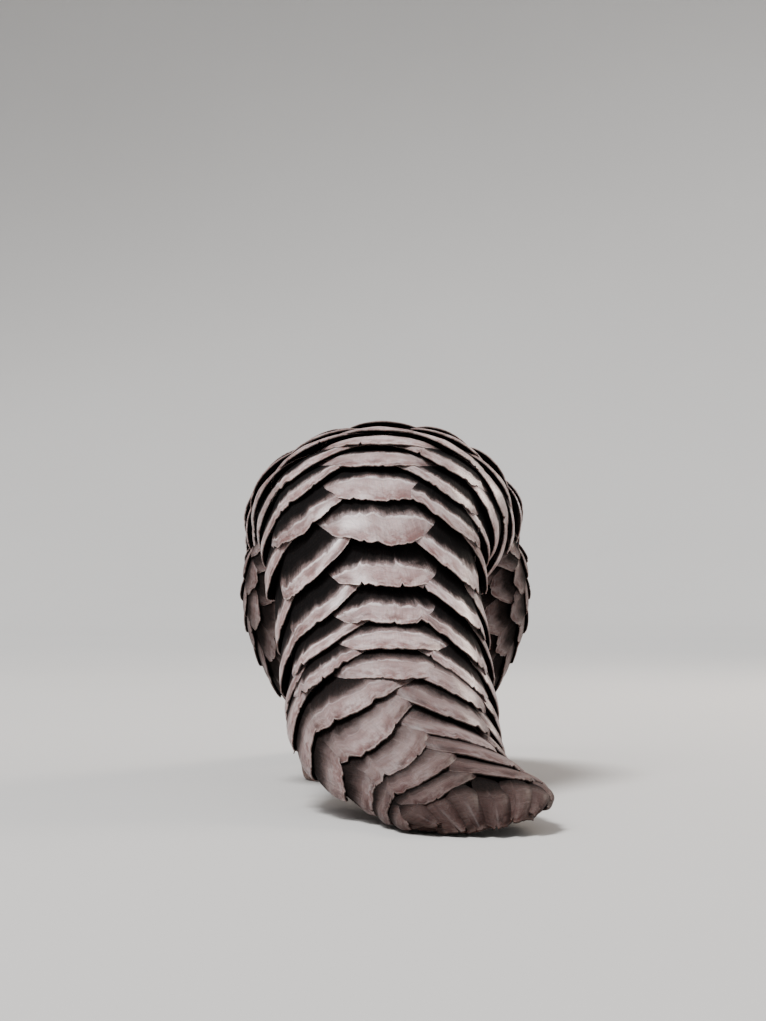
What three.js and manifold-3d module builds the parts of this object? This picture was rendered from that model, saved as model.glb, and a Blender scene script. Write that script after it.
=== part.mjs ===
// A life-size ground pangolin, head low and back arched, standing on its four feet and the end of its tail.
// Millimetres, +Z up. The animal faces +Y, its right side is +X, and the floor is z = 0.
import * as THREE from "three";
import Module from "manifold-3d";

const wasm = await Module();
wasm.setup();

// Gap between touching pieces. Roots are sunk to a depth that is at most a share of the body's own.
const GAP = 0.3;
const PLATE_GAP = 0.5;
const ROOT_DEPTH = 4;
const ROOT_DEPTH_SHARE = 0.4;
// A plate that is grown to cut its neighbour grows this much more to the sides.
const GROWN_ASIDE = 3;
// Distance between the rings of a leg, and degrees in a radian.
const LEG_RING_STEP = 24;
const DEGREES = 180 / Math.PI;
// Moves the middle of the model's box onto the origin.
const ORIGIN_SHIFT = [0, 32, 0];

// The body's sections, from the tail's end to the snout: the centre of each, its half width at the widest
// line, and how far it rises above and drops below that line.
const BODY = [
  { name: "tail_tip", at: [64, -421, 9], half: 27, rise: 3, drop: 3, roll: 8 },
  { name: "tail_fan", at: [62, -407, 11], half: 38, rise: 7, drop: 5, roll: 8 },
  { name: "tail_end", at: [58, -385, 13], half: 45, rise: 11, drop: 7, roll: 8 },
  { name: "tail_pad", at: [45, -325, 16], half: 51, rise: 21, drop: 10, roll: 6 },
  { name: "tail_lift", at: [18, -259, 30], half: 59, rise: 31, drop: 15, roll: 3 },
  { name: "tail_thin", at: [8, -206, 49], half: 64, rise: 39, drop: 21, roll: 0 },
  { name: "tail_middle", at: [4, -137, 82], half: 66, rise: 45, drop: 27, roll: 0 },
  { name: "tail_thick", at: [-3, -84, 129], half: 68, rise: 49, drop: 34, roll: 0 },
  { name: "tail_root", at: [-6, -50, 172], half: 74, rise: 52, drop: 46, roll: 0 },
  { name: "rump", at: [-3, 1, 191], half: 91, rise: 60, drop: 66, roll: 0 },
  { name: "loin", at: [0, 55, 195], half: 98, rise: 70, drop: 76, roll: 0 },
  { name: "back", at: [0, 108, 189], half: 96, rise: 71, drop: 74, roll: 0 },
  { name: "ribs", at: [0, 158, 170], half: 87, rise: 64, drop: 66, roll: 0 },
  { name: "shoulders", at: [-1, 199, 144], half: 70, rise: 51, drop: 55, roll: 0 },
  { name: "neck", at: [-3, 236, 115], half: 50, rise: 38, drop: 41, roll: 0 },
  { name: "nape", at: [-7, 266, 92], half: 38, rise: 32, drop: 33, roll: 0 },
  { name: "crown", at: [-11, 290, 75], half: 33, rise: 28, drop: 27, roll: 0 },
  { name: "brow", at: [-16, 312, 58], half: 26, rise: 22, drop: 20, roll: 0 },
  { name: "muzzle", at: [-21, 332, 43], half: 17, rise: 14, drop: 13, roll: 0 },
  { name: "nose", at: [-25, 349, 31], half: 11, rise: 9, drop: 9, roll: 0 },
  { name: "nose_pad", at: [-27, 358, 25], half: 7.5, rise: 6.5, drop: 6.5, roll: 0 },
  { name: "snout_tip", at: [-28, 361.5, 22.5], half: 3, rise: 2.5, drop: 2.5, roll: 0 },
];
const BODY_UP = [0, 0, 1];

// Sections of a hind leg and a foreleg from the sole up: distance out from the leg's own line, distance
// forward, height, half length fore and aft, and thickness outward and inward.
const HIND_LEG = [
  { at: [0, 6, 0], half: 28, rise: 25, drop: 23 },
  { at: [0, 5, 9], half: 31, rise: 27, drop: 26 },
  { at: [0, 0, 30], half: 28, rise: 25, drop: 24 },
  { at: [1, -7, 62], half: 34, rise: 27, drop: 26 },
  { at: [17, -8, 98], half: 47, rise: 35, drop: 33 },
  { at: [28, -3, 136], half: 54, rise: 38, drop: 38 },
  { at: [28, 2, 170], half: 48, rise: 33, drop: 38 },
  { at: [12, 6, 202], half: 32, rise: 14, drop: 24 },
].map((section) => ({ ...section, roll: 0 }));
const FORE_LEG = [
  { at: [0, 2, 0], half: 20, rise: 19, drop: 18 },
  { at: [0, 1, 8], half: 22, rise: 21, drop: 20 },
  { at: [0, -8, 28], half: 19, rise: 17, drop: 17 },
  { at: [4, -24, 56], half: 24, rise: 20, drop: 19 },
  { at: [8, -32, 86], half: 34, rise: 25, drop: 22 },
  { at: [4, -27, 120], half: 36, rise: 22, drop: 20 },
  { at: [-8, -20, 150], half: 26, rise: 14, drop: 14 },
].map((section) => ({ ...section, roll: 0 }));
// Where each leg stands: its side, and the place of its line on the floor.
const LEGS = {
  hindleg_left: { side: -1, stand: [-35, 12], form: HIND_LEG },
  hindleg_right: { side: 1, stand: [41, 42], form: HIND_LEG },
  foreleg_left: { side: -1, stand: [-45, 222], form: FORE_LEG },
  foreleg_right: { side: 1, stand: [46, 203], form: FORE_LEG },
};

// Cuts between the body's nodes, as places in the list of sections, and the spacing of their rings.
const BODY_NODES = [
  { name: "head", from: 15, to: 21, step: 15 },
  { name: "neck", from: 13.6, to: 15, step: 24 },
  { name: "torso_front", from: 11.2, to: 13.6, step: 72 },
  { name: "torso_rear", from: 8.3, to: 11.2, step: 72 },
  { name: "tail_base", from: 6.1, to: 8.3, step: 72 },
  { name: "tail_middle", from: 3.9, to: 6.1, step: 72 },
  { name: "tail_end", from: 0, to: 3.9, step: 40 },
];
const BODY_SIDES = 14;
const LEG_SIDES = 8;

// Scale rows. Step from one half row to the next along the back line, by distance from the tail's end.
const HALF_STEPS = [
  [0, 16],
  [70, 17.6],
  [130, 17.8],
  [150, 20.2],
  [215, 20.2],
  [235, 18.2],
  [320, 18.6],
  [355, 20.4],
  [420, 18.9],
  [700, 17.5],
  [790, 13],
  [850, 9],
  [920, 6.8],
];
// Angle between neighbouring columns, by the same distance.
const COLUMN_ANGLES = [
  [0, 45],
  [390, 45],
  [470, 35],
  [560, 29],
  [640, 26],
  [760, 26],
  [930, 30],
];
// How far round the body the scales reach, by the same distance.
const LOWEST_ANGLES = [
  [405, 180.5],
  [406, 118],
  [560, 112],
  [720, 108],
  [800, 92],
  [860, 74],
  [925, 52],
];
// How high the free edges stand, as a share of a scale's length, by the same distance.
const PLATE_RISES = [
  [0, 0.085],
  [60, 0.09],
  [150, 0.11],
  [240, 0.135],
  [340, 0.16],
  [800, 0.152],
];
// The tail's end is a fan of scales side by side, and the middle column ends this many half rows before it.
// Pairs of scales take its place between, and the free edges start past the end of the flesh.
const FIRST_EDGE = -4;
const FAN_ANGLE = 43;
const FAN_LAG = 3;
const FAN_WIDTH = 0.72;
const PAIRED_HALF_ROWS = 12;
const PAIR_ANGLE = 31;
const PAIR_WIDTH = 1.04;
const MOST_COLUMNS = 6;
// The last scales lie this far behind the snout's tip.
const BARE_SNOUT = 32;
// A scale: its length in full rows, its width and its root's width as shares of the space between columns,
// how far its free edge's corners sink and draw back, how it leans outward and how far it is cut back below.
const PLATE_ROWS_COVERED = 1.95;
const PLATE_WIDTH = 0.97;
const ROOT_WIDTH = 0.3;
const PLATE_CROWN = 0.9;
const PLATE_RECEDE = 0.5;
const CORNER_POWER = 1.7;
const PLATE_SKEW = 0.22;
const SIDE_SKEW = 0.07;
const PLATE_UNDERCUT = 0.04;
// How deep the root's upper and lower edges lie, as shares of the depth of the free edge's foot.
const ROOT_UPPER = 0.2;
const ROOT_LOWER = 0.4;
// A scale belongs to the node in which this share of its length ends.
const ROOT_SHARE = 0.7;
// Scales under the tail lie flatter. The tail's columns stand at least this far apart, in degrees.
const UNDERSIDE_FROM = 100;
const UNDERSIDE_RISE = 0.55;
const TAIL_SPACING = 40;
const SMALL_SCALE = 66;

// Scales of a leg: half row step, where they start and end, angle between columns, rise and recede.
const HIND_SCALES = { step: 23, lowest: 24, highest: 0.7, between: 36, rise: 0.07, recede: 0.35 };
const FORE_SCALES = { step: 19, lowest: 26, highest: 0.56, between: 40, rise: 0.09, recede: 0.35 };
// How far the legs' scales are turned to the back, in degrees, by their height on the leg.
const LEG_TWISTS = [[25, 8], [60, 26], [110, 48], [150, 58]];
const LEG_COLUMNS = { front: 1, back: 2 };

const EYE = { u: 16.9, angle: 64, radius: 4.6 };
const EAR = { u: 15.75, angle: 82, height: 16, thickness: 5, sunk: 3, stands: 4.2, bend: 112 };
const LID = { across: 1.1, thick: 0.42 };
const MOUTH = { from: 18.2, to: 19.7, angle: 112, width: 1, depth: 2, lip: 4.5 };
const NOSTRIL = { u: 20.05, angle: 50, radius: 1.9 };

const random = mulberry(20417);

// Makes a repeatable source of numbers from 0 to 1.
function mulberry(seed) {
  let state = seed;
  return () => {
    state = (state + 0x6d2b79f5) | 0;
    let t = Math.imul(state ^ (state >>> 15), 1 | state);
    t = (t + Math.imul(t ^ (t >>> 7), 61 | t)) ^ t;
    return ((t ^ (t >>> 14)) >>> 0) / 4294967296;
  };
}

// A number from 1 - share to 1 + share.
function about(share) {
  return 1 + share * (2 * random() - 1);
}

// Reads a list of [place, value] pairs at any place, by straight lines.
function read(pairs, place) {
  if (place <= pairs[0][0]) return pairs[0][1];
  for (let i = 1; i < pairs.length; i++) {
    const [a, va] = pairs[i - 1];
    const [b, vb] = pairs[i];
    if (place <= b) return va + ((vb - va) * (place - a)) / (b - a);
  }
  return pairs[pairs.length - 1][1];
}

function radians(degrees) {
  return (degrees * Math.PI) / 180;
}

// A form swept through sections. Places on it are a distance along its top line, an angle round it from
// that line and a height above its skin.
class Form {
  constructor(sections, up) {
    this.rows = sections.map((s) => [...s.at, s.half, s.rise, s.drop, s.roll]);
    this.up = new THREE.Vector3(...up);
    this.last = sections.length - 1;
    const centres = sections.map((s) => new THREE.Vector3(...s.at));
    this.spans = centres.slice(1).map((centre, i) => centre.distanceTo(centres[i]));
    this.slopes = this.rows.map((_, i) => this.slopeAt(i));
    this.lengths = this.measure(40 * this.last);
  }

  // How fast each number changes at section i, weighing the nearer neighbour more.
  slopeAt(i) {
    const slope = (k) => this.rows[0].map((_, c) => (this.rows[k + 1][c] - this.rows[k][c]) / this.spans[k]);
    if (i === 0) return slope(0);
    if (i === this.last) return slope(i - 1);
    const before = slope(i - 1);
    const after = slope(i);
    const [a, b] = [this.spans[i - 1], this.spans[i]];
    return before.map((v, c) => (v * b + after[c] * a) / (a + b));
  }

  // A smooth curve through all the sections' numbers at once, a cubic between each two, or its direction.
  values(u, direction = false) {
    const i = Math.min(Math.max(Math.floor(u), 0), this.last - 1);
    const t = u - i;
    return this.rows[i].map((b, c) => {
      const d = this.rows[i + 1][c];
      const m = this.slopes[i][c] * this.spans[i];
      const n = this.slopes[i + 1][c] * this.spans[i];
      const cube = 2 * b - 2 * d + m + n;
      const square = 3 * d - 3 * b - 2 * m - n;
      if (direction) return 3 * cube * t * t + 2 * square * t + m;
      return cube * t * t * t + square * t * t + m * t + b;
    });
  }

  section(u) {
    const [x, y, z, half, rise, drop, roll] = this.values(u);
    const along = new THREE.Vector3(...this.values(u, true)).normalize();
    const side = new THREE.Vector3().crossVectors(along, this.up).normalize();
    side.applyAxisAngle(along, -radians(roll));
    const up = new THREE.Vector3().crossVectors(side, along);
    return { centre: new THREE.Vector3(x, y, z), along, side, up, half, rise, drop };
  }

  measure(steps) {
    const lengths = [0];
    let before = this.atSection(0, 0, 0);
    for (let k = 1; k <= steps; k++) {
      const point = this.atSection((k * this.last) / steps, 0, 0);
      lengths.push(lengths[k - 1] + point.distanceTo(before));
      before = point;
    }
    return lengths;
  }

  get length() {
    return this.lengths[this.lengths.length - 1];
  }

  // Distance along the top line at section u, and the section at a distance.
  distance(u) {
    const k = (u / this.last) * (this.lengths.length - 1);
    const i = Math.min(Math.floor(k), this.lengths.length - 2);
    return this.lengths[i] + (this.lengths[i + 1] - this.lengths[i]) * (k - i);
  }

  place(s) {
    const top = this.lengths.length - 1;
    const i = Math.max(this.lengths.findIndex((l) => l > s), 1);
    if (s >= this.length) return this.last;
    const share = (s - this.lengths[i - 1]) / (this.lengths[i] - this.lengths[i - 1]);
    return (Math.max(i - 1 + share, 0) / top) * this.last;
  }

  // The point of section u at an angle in degrees from the top, a height off the skin.
  atSection(u, angle, height) {
    const { centre, side, up, half, rise, drop } = this.section(u);
    const sine = Math.sin(radians(angle));
    const cosine = Math.cos(radians(angle));
    const tall = cosine >= 0 ? rise : drop;
    const out = new THREE.Vector2(sine / half, cosine / tall).normalize();
    return centre
      .addScaledVector(side, half * sine + out.x * height)
      .addScaledVector(up, tall * cosine + out.y * height);
  }

  // Past either end the form goes on straight.
  point(s, angle, height) {
    const within = Math.min(Math.max(s, 0), this.length);
    const u = this.place(within);
    return this.atSection(u, angle, height).addScaledVector(this.section(u).along, s - within);
  }
}

// A solid from points and triangles, turned so that its faces point out.
function solidOf(points, triangles) {
  const vertProperties = new Float32Array(points.flatMap((p) => [p.x, p.y, p.z]));
  const make = (list) =>
    new wasm.Manifold(new wasm.Mesh({ numProp: 3, vertProperties, triVerts: new Uint32Array(list.flat()) }));
  const made = make(triangles);
  return made.volume() > 0 ? made : make(triangles.map(([a, b, c]) => [a, c, b]));
}

// A closed solid through rings of as many points each, with flat ends.
function lofted(rings) {
  const sides = rings[0].length;
  const points = rings.flat();
  const triangles = [];
  for (let r = 0; r + 1 < rings.length; r++) {
    for (let k = 0; k < sides; k++) {
      const a = r * sides + k;
      const b = r * sides + ((k + 1) % sides);
      triangles.push([a, b, b + sides], [a, b + sides, a + sides]);
    }
  }
  [0, rings.length - 1].forEach((r) => {
    const middle = points.length;
    points.push(rings[r].reduce((sum, p) => sum.add(p), new THREE.Vector3()).divideScalar(sides));
    for (let k = 0; k < sides; k++) {
      const a = r * sides + k;
      const b = r * sides + ((k + 1) % sides);
      triangles.push(r === 0 ? [middle, b, a] : [middle, a, b]);
    }
  });
  return solidOf(points, triangles);
}

// The flesh of a form between two sections, grown by a margin. moved shifts the first end forward.
function core(form, from, to, step, sides, grow = 0, moved = 0) {
  const start = form.distance(from);
  const end = form.distance(to);
  const count = Math.max(Math.round((end - start) / step), 2);
  const rings = [];
  for (let r = 0; r <= count; r++) {
    const u = form.place(start + ((end - start) * r) / count);
    const slide = r === 0 ? moved - grow : r === count ? grow : 0;
    const along = form.section(u).along;
    const ring = [];
    for (let k = 0; k < sides; k++) {
      ring.push(form.atSection(u, (360 * k) / sides, grow).addScaledVector(along, slide));
    }
    rings.push(ring);
  }
  return lofted(rings);
}

// One scale: a plate that rises from a narrow, sunken root to its free edge, the edge drawn back towards
// its corners and cut back underneath. grow makes it larger all round.
function plate(form, scale, grow = 0) {
  const { s, angle, length, spread, tip, skew, recede, columns, twist = 0 } = scale;
  const { half, drop, rise } = form.section(form.place(s + 0.5 * length));
  const depth = Math.min(ROOT_DEPTH, ROOT_DEPTH_SHARE * drop);
  const wide = spread + ((GROWN_ASIDE * grow) / half) * DEGREES;
  const girth = (0.5 * (half + rise)) / DEGREES;
  const [cos, sin] = [Math.cos(twist / DEGREES), Math.sin(twist / DEGREES)];
  const at = (q, along, height) => {
    const run = along - s;
    const aside = q * wide * girth;
    return form.point(s + run * cos - aside * sin, angle + (run * sin + aside * cos) / girth, height);
  };
  const root = (height) => [-ROOT_WIDTH, ROOT_WIDTH].map((q) => at(q, s + length + grow, height));
  const across = Array.from({ length: columns }, (_, c) => -1 + (2 * c) / (columns - 1));
  const edge = (q) => s - grow + length * (recede * Math.abs(q) ** CORNER_POWER - skew * q);
  const top = across.map((q) => at(q, edge(q), tip * (1 - PLATE_CROWN * q * q) + grow));
  const under = across.map((q) => at(q, edge(q) + PLATE_UNDERCUT * length, -depth - grow));
  const roots = [root(grow - ROOT_UPPER * depth), root(-grow - ROOT_LOWER * depth)];
  const points = [...roots[0], ...top, ...roots[1], ...under];
  return solidOf(points, plateFaces(columns));
}

// Triangles of a plate: its upper face, its underside, the free edge, the two sides and the root's end.
function plateFaces(columns) {
  const faces = [];
  const middle = Math.floor((columns - 1) / 2);
  const layers = columns + 2;
  const layer = (first, turned) => {
    const add = (a, b, c) => faces.push(turned ? [a + first, c + first, b + first] : [a, b, c]);
    for (let c = 0; c + 1 < columns; c++) {
      add(c < middle ? 0 : 1, c + 2, c + 3);
    }
    add(0, middle + 2, 1);
  };
  layer(0, false);
  layer(layers, true);
  const wall = (a, b) => faces.push([a, a + layers, b + layers], [a, b + layers, b]);
  for (let c = 0; c + 1 < columns; c++) {
    wall(c + 2, c + 3);
  }
  wall(0, 2);
  wall(columns + 1, 1);
  wall(1, 0);
  return faces;
}

// Every scale of the body: columns side by side, each row set between the columns of the next.
function bodyScales(body) {
  const scales = [];
  let s = FIRST_EDGE;
  for (let row = 0; s < body.length - BARE_SNOUT; row++) {
    const between = read(COLUMN_ANGLES, s);
    for (let column = -MOST_COLUMNS; column <= MOST_COLUMNS; column++) {
      if (isPlace(row, column, s, between)) scales.push(bodyScale(s, row, column, between));
    }
    s += read(HALF_STEPS, s);
  }
  return scales;
}

// Whether a scale grows at a row and column. Round the tail, column -4 would double column 4.
function isPlace(row, column, s, between) {
  const aside = Math.abs(column);
  const fan = row === 0 && aside === 1;
  const paired = row > 0 && row < PAIRED_HALF_ROWS;
  if ((row + column) % 2 !== 0 && !fan) return false;
  if (column <= -4 && between > TAIL_SPACING) return false;
  if (paired && (aside === 0 || (aside === 1 && row === 1))) return false;
  return aside * between <= read(LOWEST_ANGLES, s);
}

// One scale's place and size. skew leans its free edge outward, and recede draws the edge's corners back.
function bodyScale(s, row, column, between) {
  const sign = Math.sign(column);
  const aside = Math.abs(column);
  const fan = row === 0 && aside <= 2;
  const pair = row < PAIRED_HALF_ROWS && aside === 1 && !fan;
  const angle = sign * (fan ? aside * FAN_ANGLE : pair ? PAIR_ANGLE : aside * between);
  const tail = between > TAIL_SPACING;
  const underneath = tail && Math.abs(angle) > UNDERSIDE_FROM;
  const step = read(HALF_STEPS, s);
  const length = 2 * step * PLATE_ROWS_COVERED * about(0.04);
  const lean = underneath || fan ? 0 : tail && aside === 2 ? SIDE_SKEW : PLATE_SKEW;
  return {
    s: s + (pair ? 0.5 * step * sign : fan ? FAN_LAG * aside : 0) + 0.08 * step * (about(1) - 1),
    angle: angle + about(1) - 1,
    length,
    spread: PLATE_WIDTH * (pair ? PAIR_WIDTH : fan ? FAN_WIDTH : 1) * between * about(0.03),
    tip: length * read(PLATE_RISES, s) * (underneath ? UNDERSIDE_RISE : 1) * about(0.06),
    skew: sign * lean,
    recede: PLATE_RECEDE,
    columns: length < SMALL_SCALE || underneath ? 3 : 4,
  };
}

// Scales of a leg: rows from near the foot up, over its outer half.
function legScales(form, back, { step, lowest, highest, between, rise, recede }) {
  const scales = [];
  for (let row = 0, s = lowest; s < highest * form.length; row++, s += step) {
    for (let column = -LEG_COLUMNS.front; column <= LEG_COLUMNS.back; column++) {
      if ((row + column) % 2 !== 0) continue;
      const length = 2 * step * PLATE_ROWS_COVERED * about(0.05);
      scales.push({
        s: s + 0.5 * (about(1) - 1),
        angle: back * column * between,
        twist: -back * read(LEG_TWISTS, s),
        length,
        spread: PLATE_WIDTH * between,
        tip: length * rise * about(0.08),
        skew: 0,
        recede,
        columns: 3,
      });
    }
  }
  return scales;
}

function joined(solids) {
  return solids.reduce((whole, piece) => whole.add(piece));
}

// The largest closed surface of a solid, without loose scraps or sealed hollows.
function largest(solid) {
  const bodies = solid.decompose();
  return bodies.reduce((best, piece) => (piece.volume() > best.volume() ? piece : best));
}

function ball(centre, radius, detail) {
  const geometry = new THREE.IcosahedronGeometry(radius, detail);
  return fromGeometry(geometry.translate(centre.x, centre.y, centre.z));
}

// A solid from a closed three.js geometry, its shared points merged by their place.
function fromGeometry(geometry) {
  const flat = geometry.index ? geometry.toNonIndexed() : geometry;
  const positions = flat.getAttribute("position");
  const known = new Map();
  const points = [];
  const order = [];
  for (let i = 0; i < positions.count; i++) {
    const point = new THREE.Vector3().fromBufferAttribute(positions, i);
    const key = point.toArray().map((v) => Math.round(v * 1e4)).join();
    if (!known.has(key)) {
      known.set(key, points.length);
      points.push(point);
    }
    order.push(known.get(key));
  }
  const triangles = [];
  for (let i = 0; i < order.length; i += 3) {
    const [a, b, c] = order.slice(i, i + 3);
    if (a !== b && b !== c && a !== c) triangles.push([a, b, c]);
  }
  return solidOf(points, triangles);
}

// Cuts away whatever is under the floor.
function aboveFloor(solid) {
  const size = 2000;
  const under = new THREE.BoxGeometry(size, size, size).translate(0, 0, -size / 2);
  return solid.subtract(fromGeometry(under));
}

// A curved claw: round sections along an arc that turns down from its base, drawn to a point.
function claw({ base, forward, length, width, turn, rings, sides = 5 }) {
  const ahead = new THREE.Vector3(...forward).normalize();
  const down = new THREE.Vector3(0, 0, -1).addScaledVector(ahead, ahead.z).normalize();
  const across = new THREE.Vector3().crossVectors(ahead, down);
  const radius = length / radians(turn);
  const list = [];
  for (let r = 0; r < rings; r++) {
    const share = r / (rings - 1);
    const bend = radians(turn) * share;
    const centre = new THREE.Vector3(...base)
      .addScaledVector(ahead, radius * Math.sin(bend))
      .addScaledVector(down, radius * (1 - Math.cos(bend)));
    const outward = ahead.clone().multiplyScalar(Math.sin(bend)).addScaledVector(down, -Math.cos(bend));
    const thick = (width / 2) * (1 - 0.86 * share ** 1.4);
    const ring = [];
    for (let k = 0; k < sides; k++) {
      const a = (2 * Math.PI * k) / sides;
      ring.push(
        centre
          .clone()
          .addScaledVector(across, thick * Math.sin(a))
          .addScaledVector(outward, 1.15 * thick * Math.cos(a)),
      );
    }
    list.push(ring);
  }
  return lofted(list);
}

// Claws of a forefoot and nails of a hind foot: place across the foot, size and how they leave it.
const FORE_CLAWS = [
  { across: -17, ahead: 12, height: 9, length: 16, width: 6, splay: -14, turn: 42 },
  { across: -10, ahead: 17, height: 12, length: 37, width: 10, splay: -5, turn: 44 },
  { across: 0.5, ahead: 18, height: 13, length: 44, width: 12, splay: 0, turn: 44 },
  { across: 11, ahead: 17, height: 12, length: 34, width: 9.5, splay: 6, turn: 46 },
  { across: 18, ahead: 11, height: 9, length: 14, width: 5.5, splay: 16, turn: 42 },
];
const HIND_NAILS = [
  { across: -18, ahead: 21.5, height: 9.5, length: 11, width: 8.5, splay: -20, turn: 46 },
  { across: -10, ahead: 27.3, height: 9.5, length: 14, width: 10, splay: -11, turn: 46 },
  { across: -0.5, ahead: 30, height: 9.5, length: 14, width: 10, splay: 0, turn: 46 },
  { across: 9, ahead: 27.8, height: 9.5, length: 14, width: 10, splay: 10, turn: 46 },
  { across: 17.5, ahead: 22, height: 9.5, length: 11, width: 8.5, splay: 19, turn: 46 },
];
// How deep a claw's root lies in the foot, and how far a foreclaw points up where it leaves it.
const CLAW_ROOT = 7;
const CLAW_LIFT = 0.12;

function footClaws(leg) {
  const hind = leg.form === HIND_LEG;
  const list = hind ? HIND_NAILS : FORE_CLAWS;
  return list.map((c, k) => ({
    name: `${hind ? "hind" : "fore"}claw_${leg.side < 0 ? "left" : "right"}_${k + 1}`,
    solid: claw({
      base: [leg.stand[0] + leg.side * c.across, leg.stand[1] + c.ahead - CLAW_ROOT, c.height],
      forward: [leg.side * Math.sin(radians(c.splay)), Math.cos(radians(c.splay)), hind ? 0 : CLAW_LIFT],
      length: c.length + CLAW_ROOT,
      width: c.width,
      turn: c.turn,
      rings: hind ? 3 : 4,
    }),
  }));
}

// The sections of a leg, placed on its side of the body.
function legForm(leg) {
  const sections = leg.form.map((s) => ({
    ...s,
    at: [leg.stand[0] + leg.side * s.at[0], leg.stand[1] + s.at[1], s.at[2]],
  }));
  return new Form(sections, [leg.side, 0, 0]);
}

// A place on the head and the direction straight out of it.
function spot(head, { u, angle }, side, height = 0) {
  const s = head.distance(u);
  const centre = head.point(s, side * angle, height);
  const outward = head.point(s, side * angle, height + 10).sub(centre).normalize();
  return { centre, outward };
}

// The lids, a rim of skin round the eye.
function eyelid(head, side) {
  const { centre, outward } = spot(head, EYE, side, 0.1 * EYE.radius);
  const ring = new THREE.TorusGeometry(LID.across * EYE.radius, LID.thick * EYE.radius, 4, 9);
  ring.applyQuaternion(new THREE.Quaternion().setFromUnitVectors(new THREE.Vector3(0, 0, 1), outward));
  return fromGeometry(ring.translate(centre.x, centre.y, centre.z));
}

function eyeball(head, side, grow = 0) {
  return ball(spot(head, EYE, side, -0.25 * EYE.radius).centre, EYE.radius + grow, 1);
}

// The ear: a thick fold of skin bent round the hollow of the ear's opening, open towards the face.
function earFold(head, side) {
  const { u, angle, height, thickness, sunk, stands, bend } = EAR;
  const s = head.distance(u);
  const girth = head.section(u).half;
  const count = 5;
  const rings = Array.from({ length: count + 1 }, (_, r) => {
    const share = r / count;
    const round = radians(bend * (2 * share - 1));
    const thick = (thickness / 2) * (0.5 + 0.5 * Math.sin(Math.PI * share));
    const place = (out, lift) => {
      const reach = height / 2 + out;
      const turn = ((reach * Math.sin(round)) / girth) * DEGREES;
      return head.point(s - 0.7 * reach * Math.cos(round), side * (angle - turn), lift);
    };
    const shoulder = 0.57 * stands;
    const foot = [place(-thick, -sunk), place(thick, -sunk)];
    return [place(-thick, shoulder), ...foot, place(thick, shoulder), place(0, stands)];
  });
  return lofted(rings);
}

function earHollow(head, side) {
  return ball(spot(head, EAR, side, 0.8).centre, 0.26 * EAR.height, 0);
}

// A strip that follows the line of the mouth on one side, from the cheek to the end of the snout.
function mouthStrip(head, side, width, inside, outside) {
  const start = head.distance(MOUTH.from);
  const end = head.distance(MOUTH.to);
  const count = 2;
  const rings = Array.from({ length: count + 1 }, (_, r) => {
    const s = start + ((end - start) * r) / count;
    const half = (width / 2 / head.section(head.place(Math.min(s, head.length))).half) * DEGREES;
    const at = (turn, height) => head.point(s, side * (MOUTH.angle + turn), height);
    return [at(-half, inside), at(half, inside), at(half, outside), at(-half, outside)];
  });
  return lofted(rings);
}

const body = new Form(BODY, BODY_UP);
const scales = bodyScales(body);

// The nodes of the body, from the head back. Each is cut clear of the one before it, whose scales lie on it.
function bodyNodes() {
  const made = {};
  const clear = {};
  BODY_NODES.forEach((node, k) => {
    const start = body.distance(node.from);
    const end = body.distance(node.to);
    const mine = scales.filter((scale) => {
      const root = scale.s + ROOT_SHARE * scale.length;
      return (root >= start || k === BODY_NODES.length - 1) && (root < end || k === 0);
    });
    let solid = core(body, node.from, node.to, node.step, BODY_SIDES);
    solid = joined([solid, ...mine.map((scale) => plate(body, scale))]);
    const grown = [core(body, node.from, node.to, node.step, BODY_SIDES, GAP)];
    clear[node.name] = joined([solid, ...grown, ...mine.map((scale) => plate(body, scale, PLATE_GAP))]);
    if (k > 0) solid = solid.subtract(clear[BODY_NODES[k - 1].name]);
    made[node.name] = solid;
  });
  return { made, clear };
}

// The head with its lips, mouth line, nostrils, lids and the hollows of its eyes and ears.
function finishedHead(solid) {
  const both = (make) => joined([-1, 1].map(make));
  const lips = both((side) => mouthStrip(body, side, MOUTH.lip, -2, 0.5));
  const grooves = both((side) => mouthStrip(body, side, MOUTH.width, -MOUTH.depth, 3));
  const nostrils = both((side) => ball(spot(body, NOSTRIL, side).centre, NOSTRIL.radius, 0));
  const cuts = joined([grooves, nostrils, both((side) => eyeball(body, side, GAP))]);
  const lids = both((side) => eyelid(body, side));
  return solid.add(lips).add(lids).subtract(cuts).subtract(both((side) => earHollow(body, side)));
}

const COLOURS = {
  scale: { color: 0x8b7a70, roughness: 0.55, metalness: 0 },
  skin: { color: 0x6f625c, roughness: 0.8, metalness: 0 },
  claw: { color: 0x9b8b78, roughness: 0.45, metalness: 0 },
  eye: { color: 0x0c0a09, roughness: 0.1, metalness: 0 },
};

function meshOf(name, solid, kind) {
  const data = solid.getMesh();
  const geometry = new THREE.BufferGeometry();
  geometry.setAttribute("position", new THREE.BufferAttribute(new Float32Array(data.vertProperties), 3));
  geometry.setIndex(new THREE.BufferAttribute(new Uint32Array(data.triVerts), 1));
  geometry.computeVertexNormals();
  const mesh = new THREE.Mesh(geometry, new THREE.MeshStandardMaterial(COLOURS[kind]));
  mesh.name = name;
  return mesh;
}

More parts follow.
